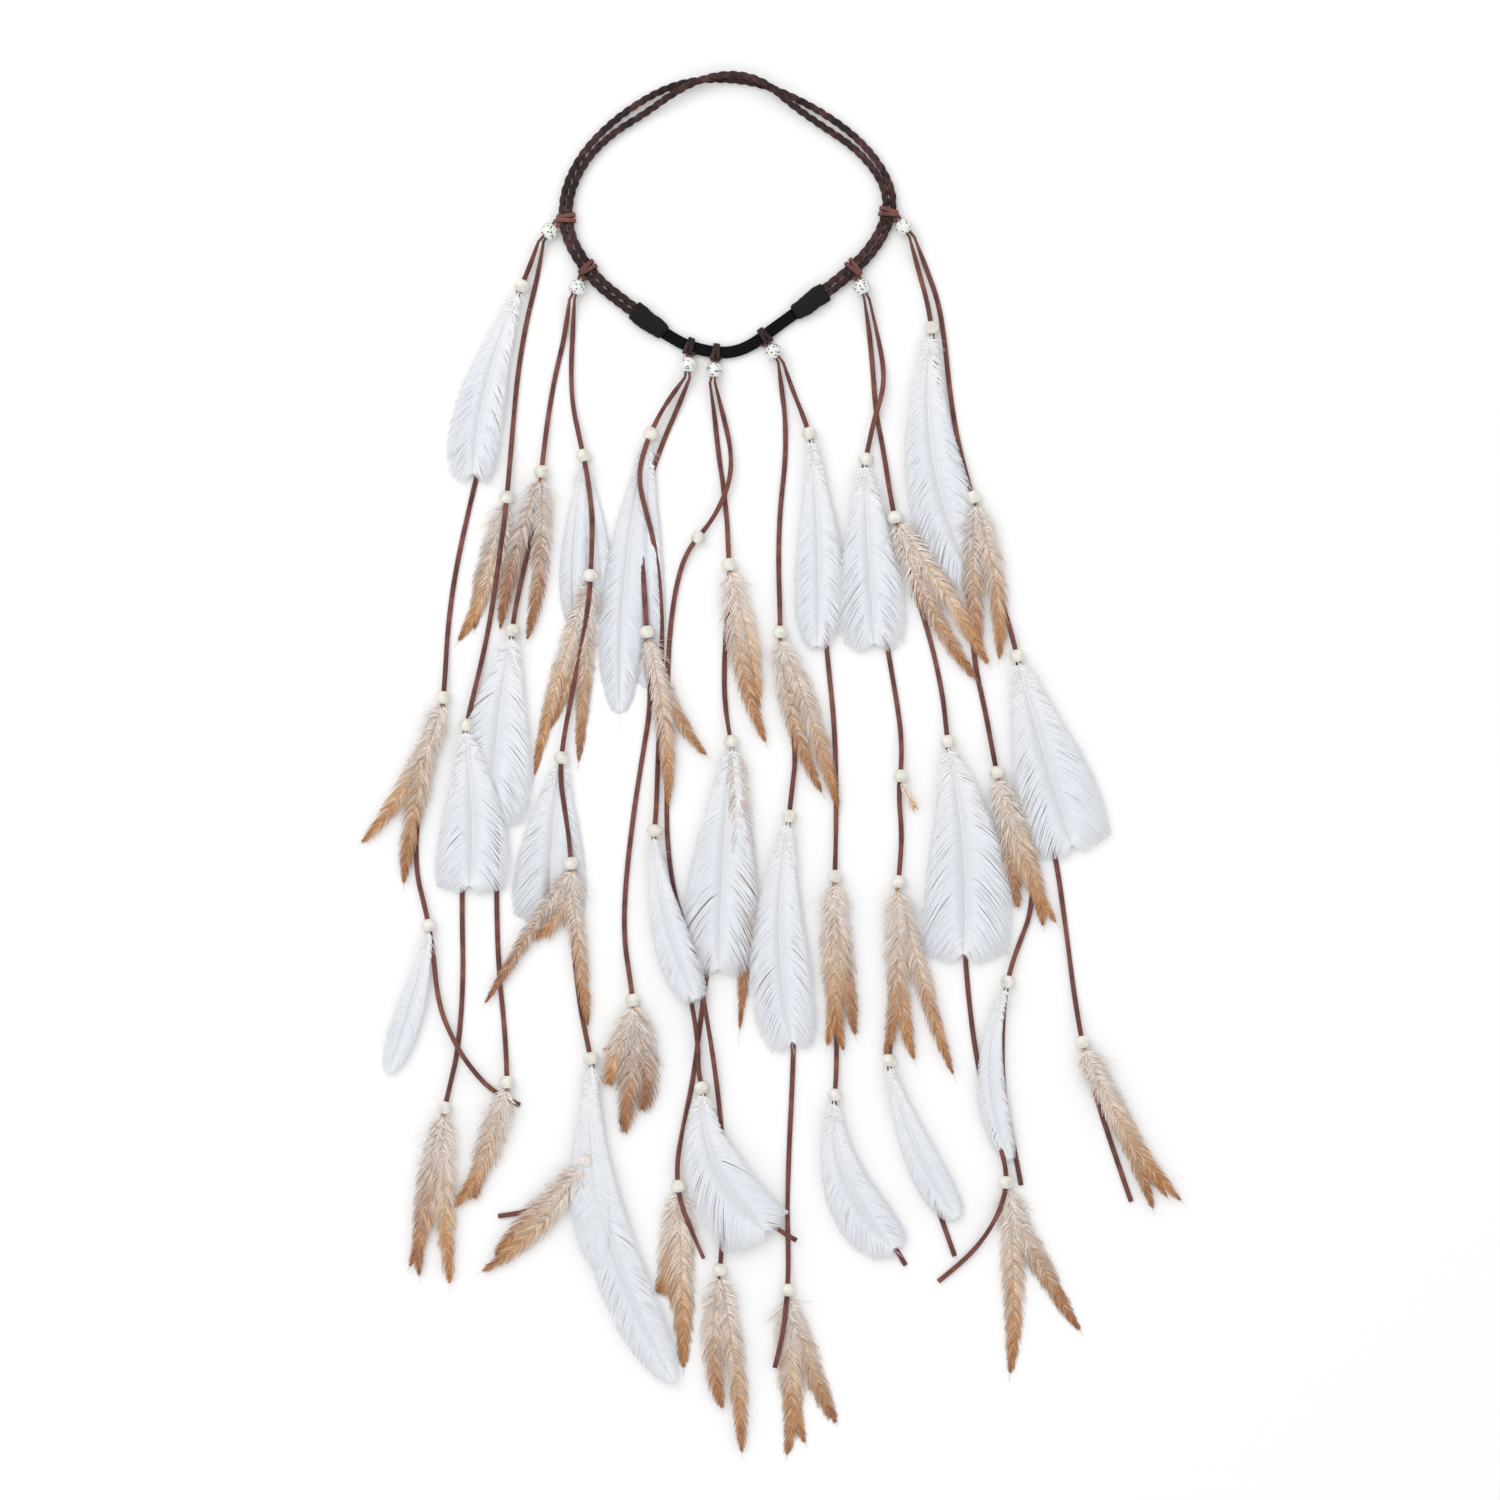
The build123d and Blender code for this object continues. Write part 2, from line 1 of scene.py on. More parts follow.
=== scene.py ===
# %% [markdown]
# # A feather headband, laid flat
# Two plaited suede cords and a black elastic make a band for the head. Seven pairs of
# suede laces hang from it, strung with beads that hold feathers. The moving frame is
# already modelled, so this lesson loads it first and then gives every piece its real
# construction: plaits of separate strands, flat laces, turned beads, and feathers built
# barb by barb.

# %% Load the frame and the tools
import math
import random
import bmesh
import bpy
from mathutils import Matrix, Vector


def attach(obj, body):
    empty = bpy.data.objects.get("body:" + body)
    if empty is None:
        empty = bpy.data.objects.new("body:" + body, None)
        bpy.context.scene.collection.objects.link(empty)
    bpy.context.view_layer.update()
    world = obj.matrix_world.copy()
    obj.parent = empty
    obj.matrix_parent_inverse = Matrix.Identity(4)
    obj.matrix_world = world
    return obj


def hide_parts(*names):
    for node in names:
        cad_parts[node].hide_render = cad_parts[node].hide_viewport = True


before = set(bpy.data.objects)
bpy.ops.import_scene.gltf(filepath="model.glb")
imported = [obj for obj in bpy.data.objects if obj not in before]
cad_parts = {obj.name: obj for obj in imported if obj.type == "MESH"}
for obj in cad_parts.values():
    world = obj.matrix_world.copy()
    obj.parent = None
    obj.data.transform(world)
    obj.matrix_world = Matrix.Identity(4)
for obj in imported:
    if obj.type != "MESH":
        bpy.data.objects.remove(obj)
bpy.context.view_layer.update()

MM = 0.001

# %% [markdown]
# The camera looks straight down on the table. A long lens far away keeps the band's
# outline free of perspective, and the light is a big soft box in a white room.

# %% Camera, floor and light
view_centre = Vector((0.0115, -0.2948, 0))
view_width = 0.825
lens = 100
sensor = 36
floor_half_width = 30
light_place = Vector((-0.7, 0.5, 1.7))
light_aim = Vector((0, -0.3, 0))
scene = bpy.context.scene

camera = bpy.data.objects.new("camera", bpy.data.cameras.new("camera"))
camera.data.lens = lens
camera.data.sensor_width = sensor
camera.location = view_centre + Vector((0, 0, view_width * lens / sensor))
scene.collection.objects.link(camera)
scene.camera = camera

floor = bpy.data.objects.new("floor", bpy.data.meshes.new("floor"))
scene.collection.objects.link(floor)
bm = bmesh.new()
bmesh.ops.create_grid(bm, x_segments=1, y_segments=1, size=floor_half_width)
bm.to_mesh(floor.data)
bm.free()
paper = bpy.data.materials.new("white_paper")
paper.use_nodes = True
paper_surface = paper.node_tree.nodes["Principled BSDF"]
paper_surface.inputs["Base Color"].default_value = (0.93, 0.93, 0.93, 1)
paper_surface.inputs["Roughness"].default_value = 0.95
floor.data.materials.append(paper)
scene.view_settings.view_transform = "Standard"

soft_box = bpy.data.objects.new("soft_box", bpy.data.lights.new("soft_box", "AREA"))
soft_box.data.size = 1.6
soft_box.data.energy = 12
soft_box.location = light_place
soft_box.rotation_euler = (light_aim - light_place).to_track_quat("-Z", "Y").to_euler()
scene.collection.objects.link(soft_box)
room = bpy.data.worlds.new("white_room")
room.use_nodes = True
room.node_tree.nodes["Background"].inputs["Color"].default_value = (1, 1, 1, 1)
room.node_tree.nodes["Background"].inputs["Strength"].default_value = 0.92
scene.world = room
print("camera", camera.location, "floor and light ready")

# %% [markdown]
# Colours are written as the hex values that a screen shows, and one function turns them
# to the linear values that shaders use. Another adds a shader node with its settings,
# its sockets' values and its links, so that a material reads as a short list.

# %% Colour and shader helpers
def linear(code):
    """A screen colour such as "e9e7e2" as linear red, green, blue and an alpha of 1."""
    channels = [int(code[i:i + 2], 16) / 255 for i in (0, 2, 4)]
    return [c / 12.92 if c <= 0.04045 else ((c + 0.055) / 1.055) ** 2.4 for c in channels] + [1.0]


def shader(tree, kind, values=None, links=None, **settings):
    """Add a node: its settings by name, its sockets' values, and what feeds them."""
    made = tree.nodes.new("ShaderNode" + kind)
    for name, value in settings.items():
        setattr(made, name, value)
    for socket, value in (values or {}).items():
        made.inputs[socket].default_value = value
    for socket, source in (links or {}).items():
        tree.links.new(source, made.inputs[socket])
    return made


def material(name, roughness, **values):
    """A material with one Principled shader; returns the material, its tree and the shader."""
    made = bpy.data.materials.new(name)
    made.use_nodes = True
    surface = made.node_tree.nodes["Principled BSDF"]
    surface.inputs["Roughness"].default_value = roughness
    for socket, value in values.items():
        surface.inputs[socket.replace("_", " ")].default_value = value
    return made, made.node_tree, surface


def ramp(tree, source, stops):
    """A colour ramp through (place, hex) stops."""
    made = shader(tree, "ValToRGB", links={"Fac": source})
    while len(made.color_ramp.elements) < len(stops):
        made.color_ramp.elements.new(0.5)
    for element, (place, code) in zip(made.color_ramp.elements, stops):
        element.position = place
        element.color = linear(code)
    return made.outputs["Color"]


def per_mm(size):
    """A texture's scale for a feature of this size in millimetres on Object coordinates."""
    return 1 / (size * MM)


# %% [markdown]
# Suede is split leather with a brushed face: a short nap that scatters light, so it has
# no highlight but a faint glow where it turns away. Sheen gives the glow, and noise gives
# the nap, which is drawn coarser than the real one so that it shows at this distance. The
# plaits are the darkest, because their strands shade each other.

# %% Suede
def suede(name, dark, middle, light, sheen=0.35):
    """Brushed split leather in three tones, in patches, with a nap drawn 0.5 mm coarse."""
    made, tree, surface = material(name, 0.92, Sheen_Weight=sheen, Sheen_Roughness=0.5)
    place = shader(tree, "TexCoord").outputs["Object"]
    patches = shader(tree, "TexNoise", {"Scale": per_mm(9), "Detail": 3}, {"Vector": place})
    nap = shader(tree, "TexNoise", {"Scale": per_mm(0.5), "Detail": 4}, {"Vector": place})
    tone = shader(
        tree, "Mix", {"Factor": 0.45},
        {"A": patches.outputs["Fac"], "B": nap.outputs["Fac"]}, data_type="FLOAT",
    )
    colour = ramp(tree, tone.outputs["Result"], [(0.36, dark), (0.5, middle), (0.66, light)])
    tree.links.new(colour, surface.inputs["Base Color"])
    bump = shader(
        tree, "Bump", {"Strength": 0.45, "Distance": 0.15 * MM}, {"Height": nap.outputs["Fac"]}
    )
    tree.links.new(bump.outputs["Normal"], surface.inputs["Normal"])
    surface.inputs["Sheen Tint"].default_value = linear(light)
    return made


lace_suede = suede("lace_suede", "4a2e2b", "6a4039", "8a584b")
plait_suede = suede("plait_suede", "1c1211", "332120", "60403c")
knot_suede = suede("knot_suede", "4c302c", "6b443c", "86584d")
print("suede:", lace_suede.name, plait_suede.name, knot_suede.name)

# %% [markdown]
# The elastic is woven from rubber cores wrapped in polyester yarn: fine ribs along it and
# a plain weave across. The sleeves are a thin black leatherette, wrapped and glued.

# %% Woven elastic and leatherette
def woven_elastic():
    """Black woven elastic, with ribs 0.8 mm apart read from the band's own UV in mm."""
    made, tree, surface = material("woven_elastic", 0.9, Specular_IOR_Level=0.2)
    place = shader(tree, "UVMap", uv_map="UVMap").outputs["UV"]
    weave = shader(
        tree, "TexBrick",
        {"Scale": 1.0, "Mortar Size": 0.12, "Brick Width": 1.3, "Row Height": 0.8,
         "Color1": linear("17191e"), "Color2": linear("0f1014"), "Mortar": linear("040506")},
        {"Vector": place},
    )
    tree.links.new(weave.outputs["Color"], surface.inputs["Base Color"])
    bump = shader(
        tree, "Bump", {"Strength": 0.8, "Distance": 0.2 * MM}, {"Height": weave.outputs["Fac"]},
        invert=True,
    )
    tree.links.new(bump.outputs["Normal"], surface.inputs["Normal"])
    return made


def leatherette():
    """Matt black coated cloth, its grain 0.8 mm."""
    made, tree, surface = material("leatherette", 0.7, Specular_IOR_Level=0.25)
    place = shader(tree, "TexCoord").outputs["Object"]
    grain = shader(
        tree, "TexVoronoi", {"Scale": per_mm(0.8)}, {"Vector": place}, feature="DISTANCE_TO_EDGE"
    )
    colour = ramp(tree, grain.outputs["Distance"], [(0.0, "040506"), (0.3, "0c0d10")])
    tree.links.new(colour, surface.inputs["Base Color"])
    bump = shader(
        tree, "Bump", {"Strength": 0.5, "Distance": 0.1 * MM}, {"Height": grain.outputs["Distance"]}
    )
    tree.links.new(bump.outputs["Normal"], surface.inputs["Normal"])
    return made


elastic_weave = woven_elastic()
sleeve_black = leatherette()
print("cloths:", elastic_weave.name, sleeve_black.name)

# %% [markdown]
# The small beads are turned wood under a coat of off-white paint. The larger ones at the
# knots are glazed clay, splashed with specks of green, teal and maroon before firing.

# %% Bead finishes
def painted_wood():
    """Off-white paint on turned wood: a satin coat, a little uneven."""
    made, tree, surface = material("painted_wood", 0.38, Coat_Weight=0.25)
    surface.inputs["Coat Roughness"].default_value = 0.25
    place = shader(tree, "TexCoord").outputs["Object"]
    clouds = shader(tree, "TexNoise", {"Scale": per_mm(4), "Detail": 3}, {"Vector": place})
    colour = ramp(tree, clouds.outputs["Fac"], [(0.3, "cbc6bb"), (0.5, "dfdbd2"), (0.7, "ece9e2")])
    tree.links.new(colour, surface.inputs["Base Color"])
    bump = shader(
        tree, "Bump", {"Strength": 0.2, "Distance": 0.1 * MM}, {"Height": clouds.outputs["Fac"]}
    )
    tree.links.new(bump.outputs["Normal"], surface.inputs["Normal"])
    return made


def speckled_glaze():
    """Glossy pale glaze with coloured specks about 1 mm across, in cells of 1.5 mm."""
    made, tree, surface = material("speckled_glaze", 0.14, Coat_Weight=0.6)
    surface.inputs["Coat Roughness"].default_value = 0.06
    place = shader(tree, "TexCoord").outputs["Object"]
    cells = shader(tree, "TexVoronoi", {"Scale": per_mm(1.5), "Randomness": 1.0}, {"Vector": place})
    chance = shader(tree, "SeparateColor", links={"Color": cells.outputs["Color"]})
    specks = ramp(
        tree, chance.outputs["Red"],
        [(0.0, "3f6f5c"), (0.25, "2f7f86"), (0.45, "7c2f3c"), (0.65, "c98f93"), (0.85, "5a6a3f")],
    )
    inside = shader(tree, "Math", links={0: cells.outputs["Distance"]}, operation="LESS_THAN")
    inside.inputs[1].default_value = 0.42
    picked = shader(tree, "Math", links={0: chance.outputs["Green"]}, operation="GREATER_THAN")
    picked.inputs[1].default_value = 0.42
    shown = shader(
        tree, "Math", links={0: inside.outputs["Value"], 1: picked.outputs["Value"]}, operation="MULTIPLY"
    )
    mixed = shader(tree, "Mix", links={"Factor": shown.outputs["Value"], 7: specks}, data_type="RGBA")
    mixed.inputs[6].default_value = linear("e2e4df")
    tree.links.new(mixed.outputs[2], surface.inputs["Base Color"])
    return made


bead_paint = painted_wood()
bead_glaze = speckled_glaze()
print("beads:", bead_paint.name, bead_glaze.name)

# %% [markdown]
# A feather is keratin: hundreds of thin translucent barbs that scatter light. Each barb
# carries its place on the feather in a point attribute. Red is how far along the shaft it
# grows, and green is how far out a point lies. Blue is a random number, and moves a barb's
# colour a little along the feather. Alpha is how dark the barb is.

# %% Feather finishes
def feather_keratin(name, stops, streak, sheen, dark_stops=None):
    """Barbs coloured along the feather; the attribute's alpha leads to the dark colours."""
    made, tree, surface = material(name, 0.6, Sheen_Weight=sheen, Subsurface_Weight=0.15)
    surface.inputs["Subsurface Radius"].default_value = (0.002, 0.002, 0.002)
    barb = shader(tree, "Attribute", attribute_name="barb")
    parts = shader(tree, "SeparateColor", links={"Color": barb.outputs["Color"]})
    wobble = shader(
        tree, "MapRange", {"To Min": -streak, "To Max": streak}, {"Value": parts.outputs["Blue"]}
    )
    moved = shader(
        tree, "Math", links={0: parts.outputs["Red"], 1: wobble.outputs["Result"]}, operation="ADD"
    )
    colour = ramp(tree, moved.outputs["Value"], stops)
    if dark_stops:
        dark = ramp(tree, moved.outputs["Value"], dark_stops)
        links = {"Factor": barb.outputs["Alpha"], 6: colour, 7: dark}
        colour = shader(tree, "Mix", links=links, data_type="RGBA").outputs[2]
    tree.links.new(colour, surface.inputs["Base Color"])
    return made


white_keratin = feather_keratin(
    "white_keratin", [(0.0, "f4f4f6"), (0.35, "eaedf3"), (0.8, "e8ebf2"), (1.0, "f0f2f6")], 0.1, 0.4
)
brown_keratin = feather_keratin(
    "brown_keratin",
    [(0.0, "f5ece4"), (0.3, "f0dac6"), (0.5, "e7c6a0"), (0.75, "d49c60"), (1.0, "ad6c32")], 0.2, 0.3,
    [(0.0, "ddd4cf"), (0.3, "b8a8a0"), (0.5, "8c6a58"), (0.75, "96583a"), (1.0, "6b4632")],
)
white_shaft, _, white_shaft_surface = material("white_feather_shaft", 0.4)
white_shaft_surface.inputs["Base Color"].default_value = linear("eeedec")
brown_shaft, _, brown_shaft_surface = material("brown_feather_shaft", 0.4)
brown_shaft_surface.inputs["Base Color"].default_value = linear("c0a083")
print("feathers:", white_keratin.name, brown_keratin.name, white_shaft.name, brown_shaft.name)

# %% [markdown]
# Most pieces here are strips: strands, laces, elastic, shafts. A curve with a bevel would
# make them too, but its section can't lean, narrow and carry UV in millimetres at once.
# So one helper lays a grid along a line, bends each of its rows into a ring, welds the
# ring shut and closes both ends with a face.

# %% Sweeping a strip along a line
def finish_piece(bm, name, body, materials):
    """Turn a bmesh into a piece that rides on its body."""
    bmesh.ops.recalc_face_normals(bm, faces=bm.faces)
    mesh = bpy.data.meshes.new(name)
    for face in bm.faces:
        face.smooth = True
    bm.to_mesh(mesh)
    bm.free()
    for finish in materials:
        mesh.materials.append(finish)
    piece = bpy.data.objects.new(name, mesh)
    scene.collection.objects.link(piece)
    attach(piece, body)
    return piece


def rounded_section(width, thickness, corners=10, squareness=3.0):
    """Points round a flat strip's section, in the order that a ring needs."""
    section = []
    for step in range(corners):
        angle = 2 * math.pi * (step + 0.5) / corners
        cosine = math.cos(angle)
        sine = math.sin(angle)
        section.append((
            width / 2 * math.copysign(abs(cosine) ** (2 / squareness), cosine),
            thickness / 2 * math.copysign(abs(sine) ** (2 / squareness), sine),
        ))
    return section


def line_frames(line):
    """For each point of a line: the point, its sideways and its upward direction."""
    frames = []
    for index, point in enumerate(line):
        ahead = line[min(index + 1, len(line) - 1)] - line[max(index - 1, 0)]
        side = ahead.cross(Vector((0, 0, 1))).normalized()
        frames.append((point, side, side.cross(ahead).normalized()))
    return frames


def sweep_strip(bm, frames, section, turns=None, sizes=None, closed=False, finish=0):
    """Lay a grid along the frames and weld its long edges: a solid strip with UV in mm."""
    uv = bm.loops.layers.uv.verify()
    steps = len(frames) - (0 if closed else 1)
    around = len(section)
    grid = bmesh.ops.create_grid(bm, x_segments=steps, y_segments=around, size=1)
    points = [frame[0] for frame in frames] + ([frames[0][0]] if closed else [])
    along = [0.0]
    for before, after in zip(points, points[1:]):
        along.append(along[-1] + (after - before).length / MM)
    girth = [0.0]
    for index in range(around):
        before, after = section[index], section[(index + 1) % around]
        girth.append(girth[-1] + math.dist(before, after) / MM)
    seats = {}
    for vert in grid["verts"]:
        seats[vert] = (round((vert.co.x + 1) / 2 * steps), round((vert.co.y + 1) / 2 * around))
    for face in {face for vert in seats for face in vert.link_faces}:
        face.material_index = finish
        for loop in face.loops:
            step, corner = seats[loop.vert]
            loop[uv].uv = (along[step], girth[corner])
    at = {}
    for vert, (step, corner) in seats.items():
        point, side, up = frames[step % len(frames)]
        angle = turns[step % len(frames)] if turns else 0.0
        grow = sizes[step % len(frames)] if sizes else 1.0
        across, rise = (value * grow for value in section[corner % around])
        cosine = math.cos(angle)
        sine = math.sin(angle)
        out = side * (across * cosine - rise * sine)
        vert.co = point + out + up * (across * sine + rise * cosine)
        at[step, corner] = vert
    ends = [] if closed else [[at[step, corner] for corner in range(around)] for step in (0, steps)]
    welds = {at[step, around]: at[step, 0] for step in range(steps + 1)}
    if closed:
        for corner in range(around + 1):
            welds[at[steps, corner]] = at[0, corner % around]
    bmesh.ops.weld_verts(bm, targetmap=welds)
    for ring in ends:
        bmesh.ops.contextual_create(bm, geom=ring, mat_nr=finish)


# %% [markdown]
# A lace is limp, so its route is a smooth curve. Straight runs with rounded corners would
# look like bent wire. A NURBS spline takes the route's points as its control points, and
# a mesh made from it gives the points of that smooth line.

# %% Reading a smooth line from a NURBS spline
def smooth_line(points, resolution=10):
    """The points of the NURBS curve whose control points are the route."""
    curve = bpy.data.curves.new("route", "CURVE")
    curve.dimensions = "3D"
    curve.resolution_u = resolution
    spline = curve.splines.new("NURBS")
    spline.points.add(len(points) - 1)
    for control, place in zip(spline.points, points):
        control.co = (*place, 1)
    spline.order_u = 3
    spline.use_endpoint_u = True
    holder = bpy.data.objects.new("route", curve)
    mesh = bpy.data.meshes.new_from_object(holder)
    line = [vert.co.copy() for vert in mesh.vertices]
    bpy.data.objects.remove(holder)
    bpy.data.curves.remove(curve)
    bpy.data.meshes.remove(mesh)
    return line


def line_length(line):
    """The length of a line of points."""
    return sum((after - before).length for before, after in zip(line, line[1:]))


# %% [markdown]
# The fourteen suede laces come first, because everything else hangs on them. Each is cut
# 2.6 mm wide and 1.4 mm thick. Its route is repeated here from the part's source, in
# millimetres, and one multiplication turns it to metres. A lace lies flat on the table,
# rises into each bead, and starts on edge where it leaves its knot bead.

# %% The laces' routes and lengths
LACE_ROUTES = {
    "1a": [(-104.6, -15.8, 4.75), (-110, -31, 3.55), (-118, -49, 3.55), (-123, -74, 1.4),
           (-127, -101, 1.4), (-135, -129, 1.4), (-143, -162, 1.4), (-151, -199, 1.4),
           (-155, -231, 1.4), (-156, -256, 3.55), (-158, -276, 3.55), (-166, -305, 1.4),
           (-172, -336, 1.4), (-172, -363, 1.4), (-167, -381, 3.55), (-163, -401, 3.55),
           (-160, -434, 2.4), (-152, -453, 4.8), (-143, -468, 4.8), (-129, -484, 1.4),
           (-115, -490, 1.4)],
    "1b": [(-101.8, -15.8, 4.75), (-105, -34, 1.4), (-111, -57, 1.4), (-116, -86, 1.4),
           (-119, -118, 1.4), (-121, -146, 4.85), (-123, -166, 4.85), (-127, -195, 2.6),
           (-133, -234, 2.3), (-142, -271, 3.55), (-146, -291, 3.55), (-146, -327, 1.4),
           (-147, -376, 1.4), (-146, -424, 1.4), (-149, -460, 1.4), (-154, -482, 3.55),
           (-158, -500, 3.55)],
    "2a": [(-87.6, -47.6, 4.75), (-90, -66, 1.4), (-95, -86, 1.4), (-99, -108, 1.4),
           (-102, -132, 3.55), (-104, -152, 3.55), (-110, -183, 1.4), (-118, -219, 3.55),
           (-120, -239, 3.55), (-125, -275, 1.4), (-127, -322, 1.4), (-128, -370, 1.4),
           (-127, -412, 1.4), (-123.5, -447, 1.4), (-122, -471, 3.55), (-122, -483, 3.55)],
    "2b": [(-84.8, -47.6, 4.75), (-86, -66, 1.4), (-87, -88, 1.4), (-86, -106, 1.4),
           (-82, -124, 4.85), (-78, -142, 4.85), (-75, -167, 2.6), (-75.5, -189, 4.85),
           (-76.5, -209, 4.85), (-80, -233, 2.4), (-86, -262, 2.3), (-91, -289, 4.85),
           (-93, -309, 4.85), (-89.5, -333, 2.4), (-87.5, -347, 3.55), (-86.5, -367, 3.55),
           (-86, -396, 1.4), (-83, -430, 1.4), (-78, -455, 3.55), (-74, -473, 3.55),
           (-73, -494, 1.6), (-76, -512, 3.55), (-82, -528, 3.55), (-94, -541, 1.4),
           (-110, -549, 1.4), (-127, -551, 1.4)],
    "3a": [(-24.3, -90.4, 4.75), (-32, -101, 4.75), (-39, -112, 4.85), (-47, -130, 4.85),
           (-50, -147, 4.8), (-45, -166, 4.8), (-40, -186, 1.4), (-37, -215, 1.4),
           (-37, -250, 1.4), (-39, -294, 1.4), (-40, -330, 3.55), (-42, -348, 3.55),
           (-35, -374, 1.4), (-27, -402, 1.4), (-20, -436, 4.8), (-17, -456, 4.8),
           (-17, -471, 3.55), (-13, -489, 3.55), (-8, -510, 4.4), (1, -530, 4.4),
           (11, -545, 2.4), (23, -556, 4.8), (37, -564, 4.8)],
    "3b": [(-21.5, -90.4, 4.75), (-27, -104, 2.4), (-35, -122, 1.4), (-42, -141, 1.4),
           (-48, -160, 1.4), (-48, -184, 1.4), (-46, -220, 3.55), (-44, -240, 3.55),
           (-43, -270, 1.4), (-48, -300, 1.4), (-53, -333, 1.4), (-57, -368, 1.4),
           (-58, -398, 1.4), (-54, -423, 3.55), (-52, -441, 3.55), (-55.5, -471, 1.4),
           (-59, -501, 1.4)],
    "4a": [(-7.7, -93.2, 4.75), (-3.5, -110, 2.4), (1, -129, 2.4), (1, -145, 4.8),
           (-4, -159, 4.8), (-11, -171, 3.55), (-23, -185, 3.55), (-29, -203, 1.4),
           (-33, -232, 1.4), (-34, -268, 1.4), (-34, -305, 1.4), (-34.5, -345, 1.4),
           (-29, -380, 1.6), (-19, -405, 4.8), (-13, -437, 4.8), (-8, -468, 4.4),
           (-4.5, -498, 1.4), (-2, -534, 1.4), (-4, -570, 3.55), (-6, -590, 3.55)],
    "4b": [(-10.5, -93.2, 4.75), (-8, -111, 1.4), (-6, -131, 1.4), (-3, -151, 1.4),
           (-1, -170, 1.4), (-0.5, -183, 3.55), (0.5, -203, 3.55), (-2, -232, 1.4),
           (-3, -260, 1.4), (-1, -280, 3.55), (3, -300, 3.55), (1, -325, 1.4),
           (-3, -356, 1.4), (-9, -394, 1.4), (-15, -438, 1.4), (-20, -478, 1.4),
           (-26, -504, 1.4), (-29, -525, 4.85), (-27, -543, 4.85), (-20.5, -559, 4.3),
           (-14, -574, 3.6)],
    "5a": [(27, -82.2, 4.75), (29, -97, 1.4), (31, -114, 1.4), (31, -136, 1.4),
           (28, -162, 1.4), (27, -190, 1.4), (28, -220, 3.55), (28, -240, 3.55),
           (32, -266, 1.4), (37, -296, 1.4), (34, -321, 3.55), (32, -341, 3.55),
           (34, -378, 1.4), (36, -428, 1.4), (35, -474, 1.4), (33, -512, 1.4),
           (32, -545, 1.4), (32.5, -569, 1.4), (32.5, -583, 4.85), (31.5, -599, 4.85),
           (29.5, -617, 4.3), (25, -634, 3.7)],
    "5b": [(29.8, -82.2, 4.75), (34, -95, 3.6), (41, -112, 3.55), (47, -130, 3.55),
           (50, -160, 1.4), (51, -195, 1.4), (53, -235, 1.4), (58, -280, 1.4),
           (59, -320, 1.4), (58.5, -354, 3.55), (57.5, -374, 3.55), (58, -408, 1.4),
           (59, -446, 1.4), (59, -474, 3.55), (57, -494, 3.55), (66, -522, 1.4),
           (81, -551, 1.4), (97, -578, 1.4)],
    "6a": [(77, -47.4, 4.75), (81, -64, 2), (85, -84, 2.4), (84.5, -98, 4.8),
           (79.5, -114, 4.8), (77, -126, 3.55), (73, -144, 3.55), (76, -168, 1.4),
           (81, -202, 1.4), (88, -244, 1.4), (94, -279, 1.4), (95, -299, 3.55),
           (93, -319, 3.55), (95, -340, 1.6), (94, -357, 3.55), (92, -377, 3.55),
           (91, -408, 1.4), (90, -436, 1.4), (88.5, -455, 3.55), (87.5, -475, 3.55),
           (98, -500, 1.4), (111, -536, 1.4), (124, -573, 1.4)],
    "6b": [(74.2, -47.4, 4.75), (77, -64, 1.4), (79, -86, 1.4), (80.5, -108, 1.4),
           (85, -131, 1.4), (89, -158, 3.55), (93, -176, 3.55), (101, -203, 1.4),
           (111, -235, 1.4), (117, -262, 1.4), (119, -280, 3.55), (121, -300, 3.55),
           (123.5, -336, 1.4), (128, -382, 1.4), (131, -426, 1.4), (136, -466, 1.4),
           (144, -500, 1.4), (152.5, -523, 4.85), (151.5, -541, 4.85), (143, -559, 3.6),
           (130, -575, 2.3), (115, -587, 1.4)],
    "7a": [(99, -13.4, 4.75), (104, -31, 2.4), (110, -53, 3.55), (112, -73, 3.55),
           (116, -106, 1.4), (122, -141, 1.4), (128, -178, 1.4), (132, -214, 1.4),
           (135, -248, 1.4), (141, -274, 1.4), (145, -297, 3.55), (149, -317, 3.55),
           (160, -338, 1.4), (167, -362, 1.4), (166, -384, 1.4), (160, -400, 1.6),
           (155, -413, 3.55), (151, -431, 3.55), (150, -459, 1.4), (151, -486, 1.4),
           (156, -510, 1.4), (160.5, -534, 1.4)],
    "7b": [(101.8, -13.4, 4.75), (108, -29, 1.4), (115, -48, 1.4), (118.5, -70, 1.4),
           (121, -95, 1.4), (125, -122, 1.4), (131, -147, 3.55), (137, -165, 3.55),
           (144, -192, 1.4), (150, -213, 1.4), (156, -234, 3.55), (160, -252, 3.55),
           (165, -286, 1.4), (172, -320, 1.4), (180, -356, 1.4), (185, -392, 1.4),
           (189, -424, 1.4), (192, -445, 3.55), (196, -465, 3.55), (203, -490, 1.4),
           (212, -517, 1.4), (221, -543, 1.4)],
}
lace_width = 2.6 * MM
lace_thickness = 1.4 * MM
print(len(LACE_ROUTES), "laces")

# %% [markdown]
# A flat lace is rarely quite flat. Each one leans to and fro as it goes, and is lifted
# where its edge would otherwise go into the table. It also lies lower than the round cord
# that stands for it in the frame, except in its beads.

# %% Make the laces
on_edge_share = 0.045
round_low = 1.4
flat_low = 0.85
in_bead = 3.55
table_clearance = 0.05 * MM


